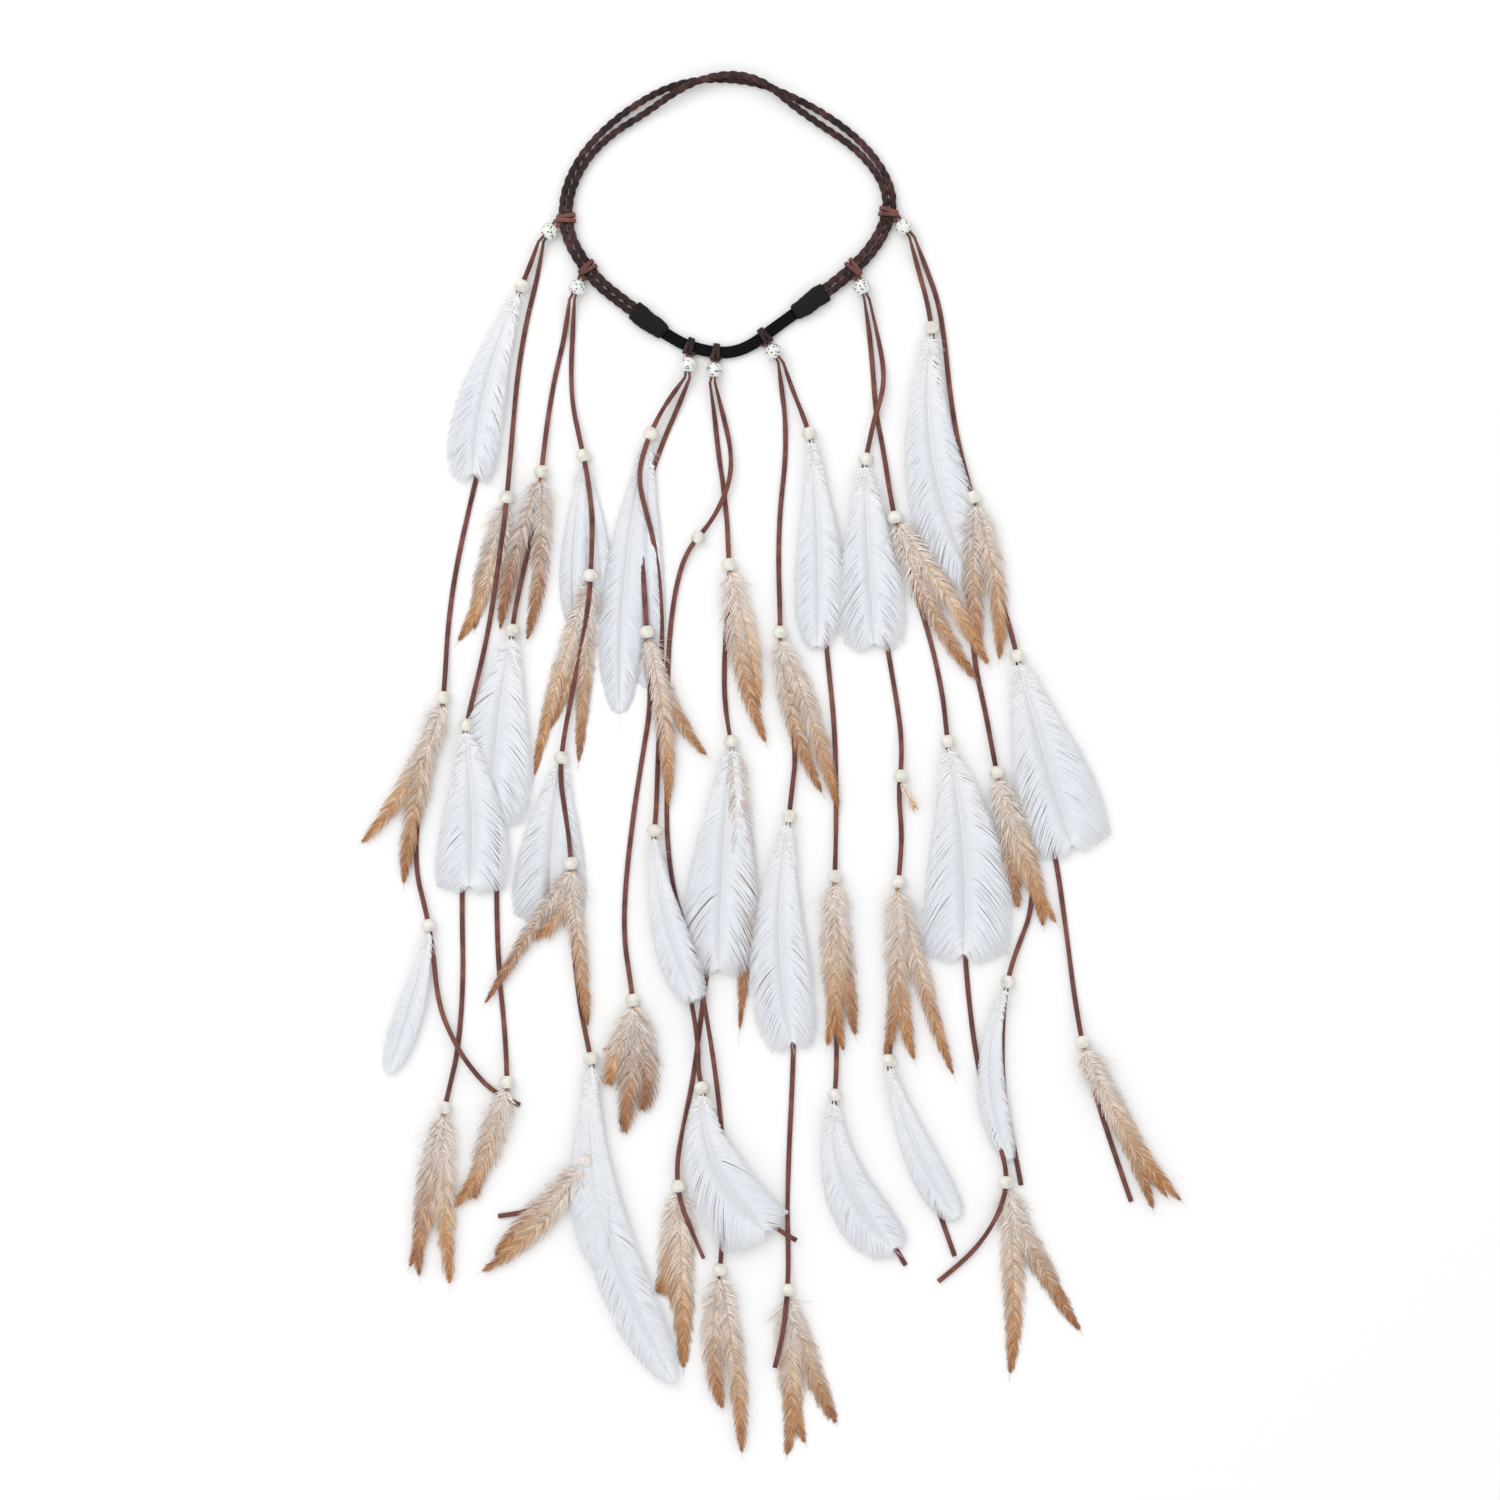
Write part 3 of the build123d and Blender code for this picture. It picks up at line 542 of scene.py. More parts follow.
def lean_of(name, count):
    """How far a lace leans at each point: on edge at its start, then to and fro."""
    draw = random.Random(name)
    waves = [(draw.uniform(0.4, 0.8), draw.uniform(2, 4), draw.uniform(0, 6)),
             (draw.uniform(0.1, 0.4), draw.uniform(6, 10), draw.uniform(0, 6))]
    leans = []
    for index in range(count):
        part = index / (count - 1)
        lean = sum(size * math.sin(2 * math.pi * turns * part + phase) for size, turns, phase in waves)
        start = max(0.0, 1 - part / on_edge_share)
        leans.append(lean * (1 - start) + math.pi / 2 * start)
    return leans


def low_enough(z):
    """The height of a flat lace's middle where a round one's is z, in millimetres."""
    if z > in_bead:
        return z
    return flat_low + (z - round_low) * (in_bead - flat_low) / (in_bead - round_low)


def make_lace(name):
    """One suede lace as a free cord, made of a flat strip on its smooth line."""
    points = [Vector((x, y, low_enough(z))) * MM for x, y, z in LACE_ROUTES[name]]
    line = smooth_line(points)
    leans = lean_of(name, len(line))
    for point, lean in zip(line, leans):
        half_height = lace_width / 2 * abs(math.sin(lean)) + lace_thickness / 2 * math.cos(lean)
        point.z = max(point.z, half_height + table_clearance)
    bm = bmesh.new()
    section = rounded_section(lace_width, lace_thickness, corners=10, squareness=6)
    sweep_strip(bm, line_frames(line), section, turns=leans)
    piece = finish_piece(bm, f"suede_lace_{name}", f"tassel_{name[0]}", [lace_suede])
    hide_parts(f"lace_{name}")
    return line_length(line)


for name in LACE_ROUTES:
    print(f"lace {name}: {make_lace(name):.3f} m")

# %% [markdown]
# Each cord of the band is a plait of three thin suede strips. One modelled link could be
# repeated along the cord, but it would stretch and gape in the bends, so each strip is
# swept whole. A strip of a plait swings from side to side once while it goes up and down
# twice, and the three follow each other a third of a turn apart. A period of 17 mm puts a
# crossing every 6 mm or so.

# %% The band's routes
braid_pitch = 4.0
crown_lift = braid_pitch
BRAID_ROUTE = [
    (-46, -60.5, braid_pitch, 0),
    (-60, -50, braid_pitch, 0),
    (-74, -39, braid_pitch, 0),
    (-85, -24, braid_pitch, 0),
    (-91, -11, braid_pitch, 0),
    (-92, 5, braid_pitch, 0),
    (-88, 20, braid_pitch, 0),
    (-79, 35, braid_pitch, 0),
    (-66, 48.5, braid_pitch + 1, 0),
    (-50, 60.5, braid_pitch + 3, 0),
    (-33, 69.5, braid_pitch + 1, crown_lift),
    (-16, 73.5, 0.5, crown_lift),
    (2, 73.5, -3, crown_lift),
    (19, 70.5, -1.5, crown_lift),
    (37, 63, braid_pitch + 1, crown_lift),
    (55, 53, braid_pitch + 2.5, 0),
    (72, 40, braid_pitch + 1, 0),
    (85, 24, braid_pitch, 0),
    (91, 8, braid_pitch, 0),
    (88, -8, braid_pitch, 0),
    (78, -24, braid_pitch, 0),
    (62, -39, braid_pitch, 0),
    (46.5, -50, braid_pitch, 0),
]
ELASTIC_ROUTE = [(-42, -61), (-29.6, -70.3), (-14, -75.5), (-0.5, -77), (12, -73), (27, -61.4),
                 (42.5, -50.4)]
braid_height = 3.7
strand_width = 2.0 * MM
strand_thickness = 1.25 * MM
plait_period = 17 * MM
plait_swing = 1.08 * MM
plait_rise = 0.85 * MM
plait_strands = 3


def braid_lines():
    """The smooth centre lines of the outer and the inner plait."""
    plan = [Vector((x, y, 0)) for x, y, pitch, lift in BRAID_ROUTE]
    outer, inner = [], []
    for index, (x, y, pitch, lift) in enumerate(BRAID_ROUTE):
        along = plan[min(index + 1, len(plan) - 1)] - plan[max(index - 1, 0)]
        inwards = Vector((along.y, -along.x, 0)).normalized()
        outer.append((plan[index] + Vector((0, 0, braid_height))) * MM)
        inner.append((plan[index] + inwards * pitch + Vector((0, 0, braid_height + lift))) * MM)
    return smooth_line(outer, 16), smooth_line(inner, 16)


# %% Make the two plaits
def make_plait(name, line, node, phase):
    """Three strips plaited round a line."""
    frames = line_frames(line)
    bm = bmesh.new()
    for strand in range(plait_strands):
        start = phase + strand * 2 * math.pi / plait_strands
        travelled = 0.0
        strip = []
        for index, (point, side, up) in enumerate(frames):
            travelled += (point - frames[index - 1][0]).length if index else 0
            angle = 2 * math.pi * travelled / plait_period + start
            swung = side * plait_swing * math.sin(angle)
            strip.append(point + swung + up * plait_rise * math.sin(2 * angle))
        section = rounded_section(strand_width, strand_thickness, corners=10, squareness=2.4)
        sweep_strip(bm, line_frames(strip), section)
    piece = finish_piece(bm, name, "headband", [plait_suede])
    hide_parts(node)


outer_line, inner_line = braid_lines()
make_plait("plait_outer", outer_line, "braid_outer", 0.0)
make_plait("plait_inner", inner_line, "braid_inner", 1.3)
print(f"plaits {line_length(outer_line):.3f} m and {line_length(inner_line):.3f} m")

# %% [markdown]
# The elastic is one flat band, swept like a lace. Its UV runs in millimetres, so that
# the weave keeps its size round the bends.

# %% Make the elastic
elastic_width = 6.5 * MM
elastic_thickness = 1.2 * MM
elastic_height = 2.6 * MM
elastic_points = [Vector((x * MM, y * MM, elastic_height)) for x, y in ELASTIC_ROUTE]
elastic_line = smooth_line(elastic_points, 12)
bm = bmesh.new()
sweep_strip(bm, line_frames(elastic_line), rounded_section(elastic_width, elastic_thickness, 20, 8))
elastic = finish_piece(bm, "elastic_weave_band", "headband", [elastic_weave])
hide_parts("elastic_band")
print(f"elastic {line_length(elastic_line):.3f} m")

# %% [markdown]
# A strip of thin black leatherette is wound round each joint and glued. Its section is a
# flattened spiral: the wall grows a little on its way round, and ends in a small step.

# %% Make the two sleeves
SLEEVES = {
    "left": ((-52.4, -53.2), (-35.6, -65.8)),
    "right": ((53.1, -42.9), (36.0, -55.0)),
}
sleeve_length = 21 * MM
sleeve_height = 7.2 * MM
sleeve_width = 10.8 * MM
sleeve_taper = 0.19
wrapped_wall = 0.05            # how much the spiral section grows on its way round
soft_end_share = 0.05


def make_sleeve(side, wide_end, aim):
    """A tapered wrap with soft ends, from its wide end towards the elastic."""
    start = Vector((*wide_end, 0)) * MM
    along = (Vector((*aim, 0)) * MM - start).normalized()
    across = Vector((along.y, -along.x, 0))
    middle_height = Vector((0, 0, sleeve_height / 2))
    steps = 24
    line = []
    sizes = []
    for step in range(steps + 1):
        part = step / steps
        creases = 0.02 * math.sin(part * 14 + len(side)) + 0.015 * math.sin(part * 29 + 1)
        belly = 0.05 * math.sin(math.pi * part)
        soft_end = 0.10 * max(0.0, 1 - min(part, 1 - part) / soft_end_share) ** 2
        wander = across * 0.25 * MM * math.sin(part * 9 + len(side))
        line.append(start + along * sleeve_length * part + wander + middle_height)
        sizes.append(1 - sleeve_taper * part + (creases + belly) - soft_end)
    outline = rounded_section(sleeve_width, sleeve_height * 0.9, 36, 3.2)
    section = []
    for index, (sideways, rise) in enumerate(outline):
        wall = 1 + wrapped_wall * index / len(outline)
        section.append((sideways * wall, rise * wall))
    bm = bmesh.new()
    sweep_strip(bm, line_frames(line), section, sizes=sizes)
    low = min(vert.co.z for vert in bm.verts)
    bmesh.ops.translate(bm, verts=bm.verts, vec=(0, 0, 0.02 * MM - low))
    piece = finish_piece(bm, f"leatherette_sleeve_{side}", "headband", [sleeve_black])
    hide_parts(f"sleeve_{side}")


for side, (wide_end, aim) in SLEEVES.items():
    make_sleeve(side, wide_end, aim)
print("sleeves", len(SLEEVES))

# %% [markdown]
# A tassel is tied on with a cow hitch: the doubled lace goes round the band twice, and
# its two ends come out under a short bar and go through the knot bead side by side.

# %% Make the hitches
HITCHES = [
    ("braid", 4, (-94.3, -5.0), (-98.6, -10.2)),
    ("braid", 2, (-80.6, -34.7), (-83.3, -40.9)),
    ("elastic", 1, (-21.6, -77.2), (-22.3, -83.3)),
    ("elastic", 2, (-7.5, -80.2), (-8.2, -86.3)),
    ("elastic", 4, (20.8, -71.4), (24.2, -76.2)),
    ("braid", 20, (70.4, -34.9), (72.8, -40.7)),
    ("braid", 18, (91.9, -2.5), (95.9, -7.6)),
]
# Half the width and height of what a hitch goes round, its distance inside the outer
# braid, and the height of its middle, in millimetres.
HELD = {
    "braid": (4.2, 2.2, 2.0, braid_height),
    "elastic": (3.6, 1.0, 0.0, elastic_height / MM),
}
bead_height = 4.75
wrap_lace = (2.2 * MM, 1.3 * MM)
bar_lace = (2.6 * MM, 1.2 * MM)
strand_lace = (1.4 * MM, 2.6 * MM)
half_wrap = 0.65
turn_spread = 1.15
turn_lean = 0.10
BAR = ((-3.2, 1.6), (-2.6, 0.5), (-1.2, -0.2), (0, -0.3), (1.2, -0.2), (2.6, 0.5), (3.2, 1.6))


def loop_line(middle, across, up, half_width, half_height, points=28, squareness=4):
    """A rounded rectangle of points round the band."""
    corners = rounded_section(2 * half_width, 2 * half_height, points, squareness)
    return [middle + across * sideways + up * rise for sideways, rise in corners]


def make_hitch(number, kind, leg, foot, bead):
    """Two turns round the band, the bar over them, and two strands through the bead."""
    route = BRAID_ROUTE if kind == "braid" else ELASTIC_ROUTE
    start, end = (Vector((*route[n][:2], 0)) for n in (leg, leg + 1))
    half_width, half_height, inwards, height = HELD[kind]
    along = (end - start).normalized()
    across = Vector((along.y, -along.x, 0))
    up = Vector((0, 0, 1))
    middle = (start + end) / 2 + across * inwards + up * height
    bm = bmesh.new()
    dark = int(kind == "elastic")
    section = rounded_section(*wrap_lace, 8, 5)
    for side in (-1, 1):
        lean = (across + along * turn_lean * side).normalized()
        place = middle + along * turn_spread * side
        turn = loop_line(place, lean, up, half_width + half_wrap, half_height + half_wrap)
        frames = []
        for index, point in enumerate(turn):
            ahead = turn[(index + 1) % len(turn)] - turn[index - 1]
            frames.append((point * MM, along, ahead.cross(along).normalized()))
        sweep_strip(bm, frames, section, closed=True, finish=dark)
    foot_point = Vector((*foot, height))
    bead_point = Vector((*bead, bead_height))
    aim = (bead_point - foot_point).normalized()
    sideways = Vector((aim.y, -aim.x, 0)).normalized()
    bar = [(foot_point + along * place - aim * drop) * MM for place, drop in BAR]
    on_edge = [math.pi / 2] * len(bar)
    sweep_strip(bm, line_frames(bar), rounded_section(*bar_lace, 8, 5), turns=on_edge, finish=dark)
    ends = [Vector(LACE_ROUTES[f"{number}{which}"][0]) for which in "ab"]
    ends.sort(key=lambda end: (end - bead_point).dot(sideways))
    for side, end in zip((-1, 1), ends):
        strand = [
            foot_point + sideways * side * 1.5 - aim * 0.6,
            foot_point + (bead_point - foot_point) * 0.45 + sideways * side * 1.25,
            bead_point - aim * 2 + sideways * side * 0.85,
            bead_point + aim * 4.2 + sideways * side * 0.85,
            end + aim * 0.5,
        ]
        line = smooth_line([point * MM for point in strand])
        sweep_strip(bm, line_frames(line), rounded_section(*strand_lace, 8, 5))
    piece = finish_piece(bm, f"cow_hitch_{number}", "headband", [knot_suede, plait_suede])
    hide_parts(f"hitch_{number}")


for number, (kind, leg, foot, bead) in enumerate(HITCHES, start=1):
    make_hitch(number, kind, leg, foot, bead)
print("hitches", len(HITCHES))

# %% [markdown]
# A bead is turned: its outline goes once round the lathe's axis. A ball with a hole cut
# through it would leave thin faces and sharp edges at its mouths. So a short outline of a
# few points, from one mouth over the belly to the other and back through the bore, is
# spun round with bmesh.ops.spin, which closes on itself with use_merge.

# %% Turn the beads
wood_bead_size = (8.4 * MM, 3.7 * MM)      # diameter and bore
knot_bead_size = (9.5 * MM, 4.6 * MM)
belly_steps = 10
turned_sides = 28
mouth_rounding = Vector((0.12 * MM, 0.22 * MM, 0))
mouth_depth = 0.35 * MM
same_place = 0.001 * MM


def turned_bead(bm, middle, along, diameter, bore, squash=1.0):
    """Spin a bead's outline round its bore, and put it at its place."""
    radius = diameter / 2
    hole = bore / 2
    mouth = math.asin(hole / radius)
    outline = []
    for step in range(belly_steps + 1):
        angle = mouth + (math.pi - 2 * mouth) * step / belly_steps
        outline.append(Vector((-radius * math.cos(angle), radius * math.sin(angle), 0)))
    outline[0] += mouth_rounding
    outline[-1] += Vector((-mouth_rounding.x, mouth_rounding.y, 0))
    inside = outline[0].x + mouth_depth
    outline = [Vector((inside, hole, 0))] + outline + [Vector((-inside, hole, 0))]
    verts = [bm.verts.new(point) for point in outline]
    edges = [bm.edges.new(pair) for pair in zip(verts, verts[1:] + verts[:1])]
    bmesh.ops.spin(
        bm, geom=verts + edges, cent=(0, 0, 0), axis=(1, 0, 0), dvec=(0, 0, 0),
        angle=2 * math.pi, steps=turned_sides, use_merge=True,
    )
    made = set(verts)
    reach = list(verts)
    while reach:
        vert = reach.pop()
        for edge in vert.link_edges:
            other = edge.other_vert(vert)
            if other not in made:
                made.add(other)
                reach.append(other)
    turn = Vector((1, 0, 0)).rotation_difference(along).to_matrix()
    for vert in made:
        vert.co = middle + turn @ Vector((vert.co.x * squash, vert.co.y, vert.co.z))


for number, (kind, leg, foot, bead) in enumerate(HITCHES, start=1):
    bm = bmesh.new()
    aim = Vector((bead[0] - foot[0], bead[1] - foot[1], 0)).normalized()
    turned_bead(bm, Vector((*bead, bead_height)) * MM, aim, *knot_bead_size)
    bmesh.ops.remove_doubles(bm, verts=bm.verts, dist=same_place)
    piece = finish_piece(bm, f"speckled_bead_{number}", "headband", [bead_glaze])
    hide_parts(f"knot_bead_{number}")
print("speckled beads", len(HITCHES))

# %% [markdown]
# The wood beads are threaded on the laces. The legs of each route that carry one are
# numbered here, and a bead sits at its leg's middle with room in its bore for the quills.

# %% Thread the wood beads
BEAD_LEGS = {
    "1a": (1, 9, 14), "1b": (5, 9, 15), "2a": (4, 7, 14), "2b": (4, 7, 11, 14, 18, 21),
    "3a": (2, 10, 16), "3b": (6, 13), "4a": (5, 18), "4b": (5, 9, 17),
    "5a": (6, 10, 18), "5b": (2, 9, 13), "6a": (5, 11, 14, 18), "6b": (5, 10, 17),
    "7a": (2, 10, 16), "7b": (6, 10, 17),
}
lace_offset = 0.65         # a lace lies this far off the middle of its bead's bore
quill_offset = 1.2         # a quill lies this far off it, on the other side
raised_lace = 4.2          # above this a lace has its quills below it
flattened = 0.96


def bead_seat(name, number):
    """A wood bead's middle, its lace's direction, and the side of the bore for the quills."""
    leg = BEAD_LEGS[name][number]
    start, end = (Vector(point) for point in LACE_ROUTES[name][leg:leg + 2])
    along = (end - start).normalized()
    across = Vector((0, 0, 1)).cross(along).normalized()
    up = along.cross(across)
    quill_side = up if (start.z + end.z) / 2 < raised_lace else -up
    return (start + end) / 2 + quill_side * lace_offset, along, quill_side


for tassel in range(1, len(HITCHES) + 1):
    bm = bmesh.new()
    for name in (f"{tassel}a", f"{tassel}b"):
        for number in range(len(BEAD_LEGS[name])):
            middle, along, quill_side = bead_seat(name, number)
            turned_bead(bm, middle * MM, along, *wood_bead_size, squash=flattened)
    bmesh.ops.remove_doubles(bm, verts=bm.verts, dist=same_place)
    piece = finish_piece(bm, f"painted_beads_{tassel}", f"tassel_{tassel}", [bead_paint])
    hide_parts(f"wood_beads_{tassel}")
print("wood beads", sum(len(legs) for legs in BEAD_LEGS.values()))

# %% [markdown]
# A feather has a tapering shaft, and a row of barbs on each side of it that lean towards
# the tip. A flat outline with a striped finish would look cut from paper at its edges, so
# the barbs are real geometry. A row of barbs starts as one grid. Every other strip of its
# faces is taken out, and each strip that is left is bent from the shaft outwards as one
# barb. Near the root the barbs are down: longer than the vane needs, curly and loose.
# Real barbs are a tenth of a millimetre wide. Here one barb stands for a handful that
# cling together.

# %% A row of barbs from one grid
barb_steps = 4
first_barb = 0.02          # the share of the shaft before the first barb
barbed_share = 0.95        # the share of the shaft that the barbs grow on
tip_room = 2 * MM          # how far barbs near the axis reach past the tip
least_curl_height = 0.25 * MM


def lay_row(bm, tint, barbs):
    """Bend the strips of one grid into barbs: (root, along, out, up, reach, forward, ...)."""
    lanes = 2 * len(barbs) - 1
    grid = bmesh.ops.create_grid(bm, x_segments=barb_steps, y_segments=lanes, size=1)
    seats = {}
    for vert in grid["verts"]:
        seats[vert] = (round((vert.co.x + 1) / 2 * barb_steps), round((vert.co.y + 1) / 2 * lanes))
    faces = {face for vert in seats for face in vert.link_faces}
    gaps = [face for face in faces if min(seats[vert][1] for vert in face.verts) % 2]
    bmesh.ops.delete(bm, geom=gaps, context="FACES")
    for vert, (step, lane) in seats.items():
        root, along, out, up, reach, forward, width, curl, shade = barbs[lane // 2]
        part = step / barb_steps
        edge = (width if lane % 2 else -width) / 2 * (1 - 0.55 * part ** 1.5)
        place = root + out * reach * part ** 0.85 + along * (forward * part ** 1.35 + edge)
        vert.co = place + up * (curl * math.sin(part * 2.6) + edge * 0.15)
        vert[tint] = (shade[0], part, shade[1], shade[2])


def vane_width(part, fullness):
    """The share of its greatest half width that a vane has there."""
    return math.sin(math.pi * min(1.0, max(0.0, part)) ** fullness) ** 0.7


def vane_barbs(line, row, draw):
    """The barbs of both sides of a feather, each side from the root to the tip."""
    frames = line_frames(line)
    length = line_length(line)
    count = max(8, int(length / (row["spacing"] * MM)))
    sides = ([], [])
    split = 0.0
    for index in range(count):
        part = first_barb + barbed_share * index / count
        seat = part * (len(frames) - 1)
        low = int(seat)
        high = min(low + 1, len(frames) - 1)
        root = frames[low][0].lerp(frames[high][0], seat - low)
        side, up = frames[low][1], frames[low][2]
        along = up.cross(side)
        loose = max(0.0, 1 - part / row["down"])
        for barbs, out in zip(sides, (side, -side)):
            if draw.random() < row["splits"]:
                split = draw.uniform(-0.25, 0.1)
            lean = math.radians(row["lean"] * (1 - 0.5 * part) + draw.uniform(-3, 3)) + split * 0.4
            reach = row["width"] / 2 * MM * vane_width(part + 0.06, row["fullness"])
            ragged = draw.uniform(1 - row["soft"], 1 + row["soft"] * 0.5)
            reach *= ragged * (1 + 0.6 * loose * draw.random())
            lean += loose * math.radians(draw.uniform(-30, 35))
            room = max(length * (1 - part) + tip_room - 0.35 * reach, 0.3 * reach)
            forward = min(reach / math.tan(max(lean, 0.3)), room)
            curl = draw.uniform(0, 0.3) * MM + loose * draw.uniform(-0.5, 1.2) * MM
            curl = max(curl, least_curl_height - root.z)
            width = row["spacing"] * draw.uniform(1.7, 2.5) * MM
            tone = min(1, max(0, row["tone"] + draw.uniform(-0.3, 0.4)))
            shade = (part, draw.random(), tone)
            barbs.append((root, along, out, up, reach, forward, width, curl, shade))
    return sides


def down_barbs(line, row, draw):
    """Loose down at the root of a feather, in all directions but back into the bead."""
    point, side, up = line_frames(line)[0]
    along = up.cross(side)
    size = row["fluff"] * MM
    barbs = []
    for _ in range(row["amount"]):
        heading = math.radians(draw.uniform(-75, 75))
        out = side * math.sin(heading) + along * math.cos(heading)
        bend = along * draw.uniform(-0.2, 0.7) + side * draw.uniform(-0.6, 0.6)
        root = point + along * size * draw.uniform(0.03, 0.9) + side * draw.uniform(-0.5, 0.5) * MM
        tone = min(1, max(0, row["tone"] + draw.uniform(-0.2, 0.2)))
        reach = size * draw.uniform(0.5, 1.1)
        rise = max(draw.uniform(-0.6, 1.0) * MM, 0.3 * MM - root.z)
        shade = (draw.uniform(0, 0.3), draw.random(), tone)
        barbs.append((root, bend, out, up, reach, reach * 0.6, 0.7 * MM, rise, shade))
    return barbs


# %% [markdown]
# The shaft's line starts at the mouth of its bead on the quills' side of the bore, goes
# through a middle point and ends at the tip. A NURBS curve of three control points does
# that smoothly. The barbs are extruded by a tenth of a millimetre, so each is a closed
# solid, and the shaft is swept after them. Each feather is made on its own and appended.

# %% Build one group of feathers
root_distance = 3.4        # from a bead's middle to the root of a shaft
first_bend = 5             # how far a hackle's middle stays on its lace's line
fan = 5                    # how much further apart hackles of one bead are at their middle
wall = Vector((0, 0, 0.1 * MM))


def shaft_line(row):
    """A smooth line from the bead's mouth through the middle to the tip, in metres."""
    seat, along, quill_side = bead_seat(row["lace"], row["bead"])
    across = Vector((0, 0, 1)).cross(along).normalized()
    root = seat + quill_side * quill_offset + across * row["aside"] + along * root_distance
    tip = Vector(row["tip"])
    if row["middle"]:
        middle = Vector((*row["middle"], (root.z + tip.z) / 2))
    else:
        middle = (root + tip) / 2 + along * first_bend + across * row["aside"] * fan
    control = middle * 2 - (root + tip) / 2
    control.z = max(control.z, tip.z)
    return smooth_line([root * MM, control * MM, tip * MM], 24)


def make_feathers(name, body, node, rows, finishes):
    """All feathers of one kind on one tassel, as one piece."""
    group = bmesh.new()
    group.verts.layers.float_color.new("barb")
    draw = random.Random(name)
    for row in rows:
        line = shaft_line(row)
        bm = bmesh.new()
        tint = bm.verts.layers.float_color.new("barb")
        for barbs in vane_barbs(line, row, draw):
            lay_row(bm, tint, barbs)
        if row["fluff"]:
            lay_row(bm, tint, down_barbs(line, row, draw))
        thick = bmesh.ops.extrude_face_region(bm, geom=bm.faces[:], use_keep_orig=True)
        lifted = [item for item in thick["geom"] if isinstance(item, bmesh.types.BMVert)]
        bmesh.ops.translate(bm, verts=lifted, vec=wall)
        sizes = [1 - 0.75 * index / (len(line) - 1) for index in range(len(line))]
        quill = rounded_section(row["quill"] * MM, row["quill"] * MM, 6, 2)
        sweep_strip(bm, line_frames(line), quill, sizes=sizes, finish=1)
        mesh = bpy.data.meshes.new("one_feather")
        bm.to_mesh(mesh)
        bm.free()
        group.from_mesh(mesh)
        bpy.data.meshes.remove(mesh)
    piece = finish_piece(group, name, body, finishes)
    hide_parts(node)
    return len(piece.data.polygons)


# %% [markdown]
# The white feathers are soft body feathers, each with its own bend. The table gives each
# one's lace and bead, a point in the middle of its shaft, its tip and its width without
# the loose ends of its barbs.

# %% The white feathers
loose_ends = 1.1
WHITE_FEATHERS = [
    ("1a", 0, (-134, -98), (-141, -148, 3.4), 27),
    ("1a", 2, (-174, -434), (-189, -477, 3.4), 15),
    ("1b", 1, (-141, -330), (-143, -374, 3.4), 38),
    ("2a", 1, (-127, -285), (-132, -338, 3.4), 40),
    ("2b", 0, (-85, -185), (-85, -232, 0.6), 14),
    ("2b", 0, (-73, -182), (-71, -224, 0.6), 14),
    ("2b", 2, (-97, -345), (-99, -393, 0.6), 38),
    ("2b", 4, (-66, -560), (-24, -652, 5.4), 26),
    ("2b", 4, (-77, -525), (-71, -583, 5.4), 20),
    ("3a", 0, (-57, -200), (-60, -284, 0.6), 23),
    ("3a", 0, (-46, -195), (-45, -269, 0.6), 20),
    ("3a", 1, (-33, -392), (-16, -436, 7.0), 20),
    ("3a", 2, (-6, -526), (24, -562, 7.4), 38),
    ("4b", 1, (-3, -355), (-6, -423, 3.6), 37),
    ("5a", 1, (28, -400), (36, -462, 3.4), 32),
    ("5b", 0, (49, -185), (48, -244, 3.4), 25),
    ("5b", 2, (65, -533), (95, -573, 3.4), 28),
    ("6a", 0, (77, -190), (80, -242, 3.4), 34),
    ("6a", 3, (104, -515), (128, -556, 3.4), 18),
    ("6b", 1, (129, -352), (128, -414, 3.4), 46),
    ("7a", 0, (113, -140), (138, -209, 3.4), 34),
    ("7a", 2, (144, -475), (157, -525, 3.4), 15),
    ("7b", 1, (174, -300), (190, -353, 3.4), 44),
]


def white_rows(tassel):
    """The white feathers of one tassel, with the values they share."""
    shared = {
        "spacing": 0.45, "tone": 0.0, "fullness": 1.5, "down": 0.2, "soft": 0.04, "quill": 0.9,
        "aside": 0.0, "fluff": 9, "amount": 40, "splits": 0.006, "lean": 60,
    }
    rows = []
    for lace, bead, middle, tip, width in WHITE_FEATHERS:
        if lace[0] == str(tassel):
            own = {"lace": lace, "bead": bead, "middle": middle, "tip": tip, "width": loose_ends * width}
            rows.append({**shared, **own})
    return rows


for tassel in range(1, len(HITCHES) + 1):
    faces = make_feathers(
        f"white_plumes_{tassel}", f"tassel_{tassel}", f"white_feathers_{tassel}",
        white_rows(tassel), [white_keratin, white_shaft],
    )
    print(f"white feathers {tassel}: {faces} faces")

# %% [markdown]
# The brown ones are cock's hackles: narrow, pointed, and downy at the root. Two or three
# share a bead. The last number of each row is its tone, from 0 for pale beige through
# orange-brown to 1 for dark and grey.

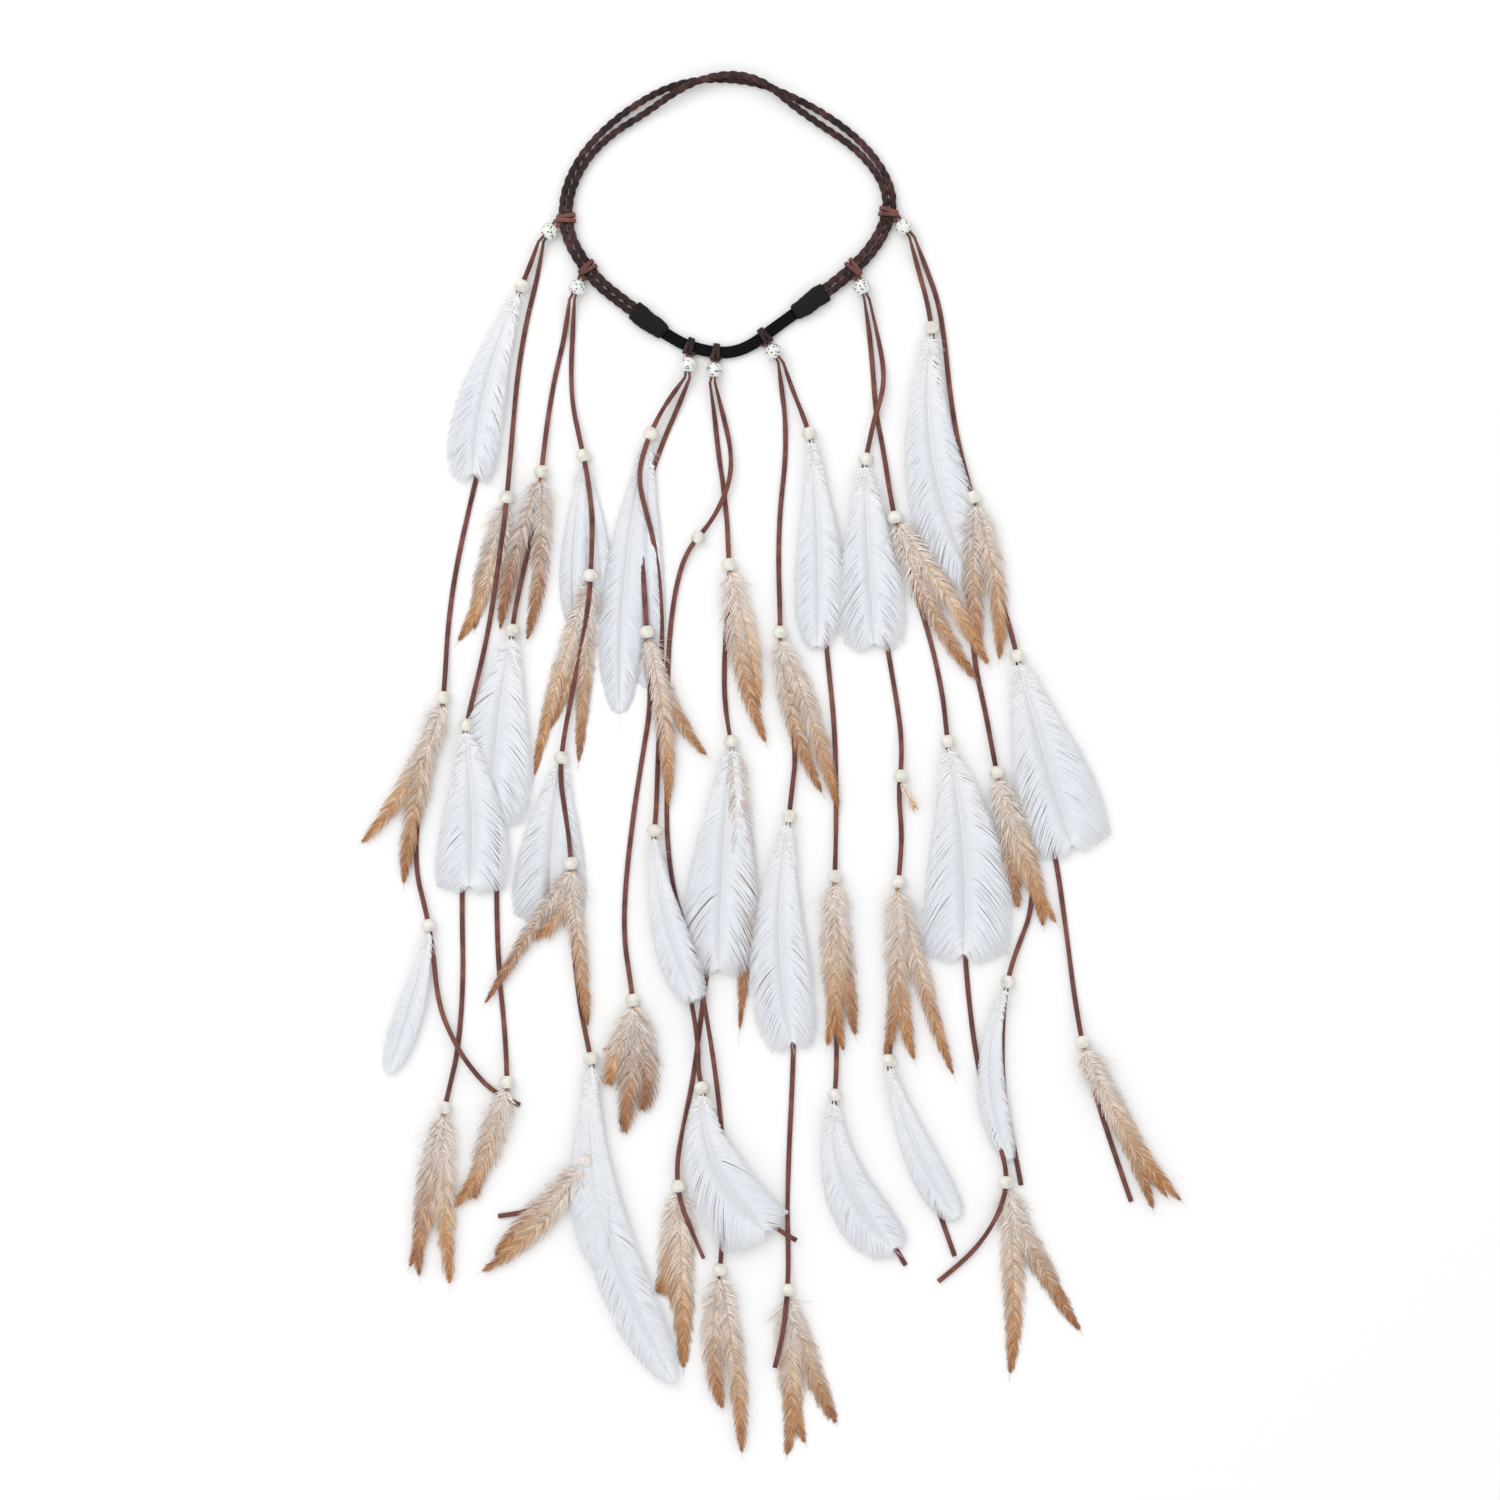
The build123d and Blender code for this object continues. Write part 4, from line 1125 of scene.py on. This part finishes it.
# %% The brown feathers
darkest = 0.85             # the alpha of a barb whose tone is 1
quill_gap = 0.7            # from the bore's middle to a quill beside it
wisp_width = 6             # a narrower feather is a bare wisp without down
BROWN_FEATHERS = [
    ("1a", 1, (-205, -349, 3.4), 11, 0.35), ("1a", 1, (-179, -373, 3.4), 12, 0.6),
    ("1b", 0, (-151, -238, 0.6), 10, 0.3), ("1b", 0, (-140, -231, 0.6), 9, 0.7),
    ("1b", 2, (-177, -582, 3.4), 11, 0.45), ("1b", 2, (-170, -588, 3.4), 10, 0.7),
    ("1b", 2, (-153, -592, 3.4), 12, 0.3),
    ("2a", 0, (-112, -238, 3.4), 10, 0.8), ("2a", 0, (-126, -232, 3.4), 10, 0.9),
    ("2a", 2, (-154, -549, 3.4), 11, 0.4), ("2a", 2, (-140, -543, 3.4), 11, 0.6),
    ("2b", 1, (-104, -290, 0.6), 9, 0.5), ("2b", 1, (-108, -314, 0.6), 9, 0.3),
    ("2b", 1, (-83, -306, 0.6), 9, 0.6),
    ("2b", 3, (-109, -399, 3.4), 11, 0.4), ("2b", 3, (-136, -437, 3.4), 8, 0.8),
    ("2b", 3, (-77, -450, 3.4), 9, 0.5),
    ("2b", 5, (-139, -583, 3.4), 11, 0.4), ("2b", 5, (-130, -574, 3.4), 10, 0.6),
    ("3b", 0, (-34, -330, 3.6), 10, 0.4), ("3b", 0, (-10, -300, 3.6), 9, 0.6),
    ("3b", 1, (-67, -460, 3.4), 15, 0.15), ("3b", 1, (-66, -479, 3.4), 11, 0.35),
    ("3b", 1, (-58, -507, 3.4), 13, 0.7), ("3b", 1, (-48, -494, 3.4), 14, 0.95),
    ("4a", 1, (7, -685, 3.4), 11, 0.45), ("4a", 1, (-3, -659, 3.4), 12, 0.6),
    ("4b", 0, (15, -277, 3.4), 11, 0.2), ("4b", 0, (22, -295, 3.4), 11, 0.5),
    ("4b", 1, (5, -457, 1.6), 11, 0.65),
    ("4b", 2, (-40, -595, 0.6), 15, 0.15), ("4b", 2, (-29, -600, 0.6), 13, 0.2),
    ("4b", 2, (-25, -639, 0.6), 13, 0.3),
    ("5a", 0, (61, -331, 3.4), 11, 0.45), ("5a", 0, (53, -322, 3.4), 10, 0.6),
    ("5a", 2, (31, -686, 0.6), 12, 0.45), ("5a", 2, (43, -679, 0.6), 11, 0.3),
    ("5a", 2, (60, -667, 0.6), 12, 0.6),
    ("5b", 1, (53, -461, 3.6), 11, 0.3), ("5b", 1, (64, -464, 3.6), 11, 0.5),
    ("5b", 1, (70, -455, 3.6), 11, 0.7),
    ("6a", 1, (101, -325, 3.4), 4, 0.0),
    ("6a", 2, (84, -472, 3.4), 10, 0.7), ("6a", 2, (103, -469, 3.4), 12, 0.3),
    ("6a", 2, (125, -478, 3.4), 10, 0.5),
    ("6b", 0, (144, -251, 3.4), 11, 0.3), ("6b", 0, (140, -261, 3.4), 11, 0.6),
    ("6b", 2, (154, -642, 0.6), 12, 0.4), ("6b", 2, (187, -597, 0.6), 10, 0.3),
    ("6b", 2, (195, -617, 0.6), 11, 0.6),
    ("7a", 1, (173, -395, 3.4), 11, 0.5), ("7a", 1, (182, -393, 3.4), 10, 0.3),
    ("7a", 1, (159, -384, 3.4), 11, 0.7),
    ("7b", 0, (148, -249, 3.4), 11, 0.4), ("7b", 0, (138, -245, 3.4), 11, 0.65),
    ("7b", 2, (234, -551, 3.4), 11, 0.6), ("7b", 2, (252, -546, 3.4), 11, 0.3),
    ("7b", 2, (243, -544, 3.4), 10, 0.45),
]


def brown_rows(tassel):
    """The hackles of one tassel, side by side in each bead."""
    shared = {
        "spacing": 0.55, "fullness": 0.66, "down": 0.5, "soft": 0.3, "quill": 0.7,
        "middle": None, "splits": 0.06, "lean": 38, "amount": 40,
    }
    rows = []
    for lace, bead, tip, width, tone in BROWN_FEATHERS:
        if lace[0] == str(tassel):
            mates = [row for row in rows if (row["lace"], row["bead"]) == (lace, bead)]
            own = {
                "lace": lace, "bead": bead, "tip": tip, "width": width, "tone": darkest * tone,
                "aside": quill_gap * (1, -1, 0)[len(mates) % 3],
                "fluff": 0 if width < wisp_width else 12,
            }
            rows.append({**shared, **own})
    return rows


for tassel in range(1, len(HITCHES) + 1):
    faces = make_feathers(
        f"brown_hackles_{tassel}", f"tassel_{tassel}", f"brown_feathers_{tassel}",
        brown_rows(tassel), [brown_keratin, brown_shaft],
    )
    print(f"brown feathers {tassel}: {faces} faces")
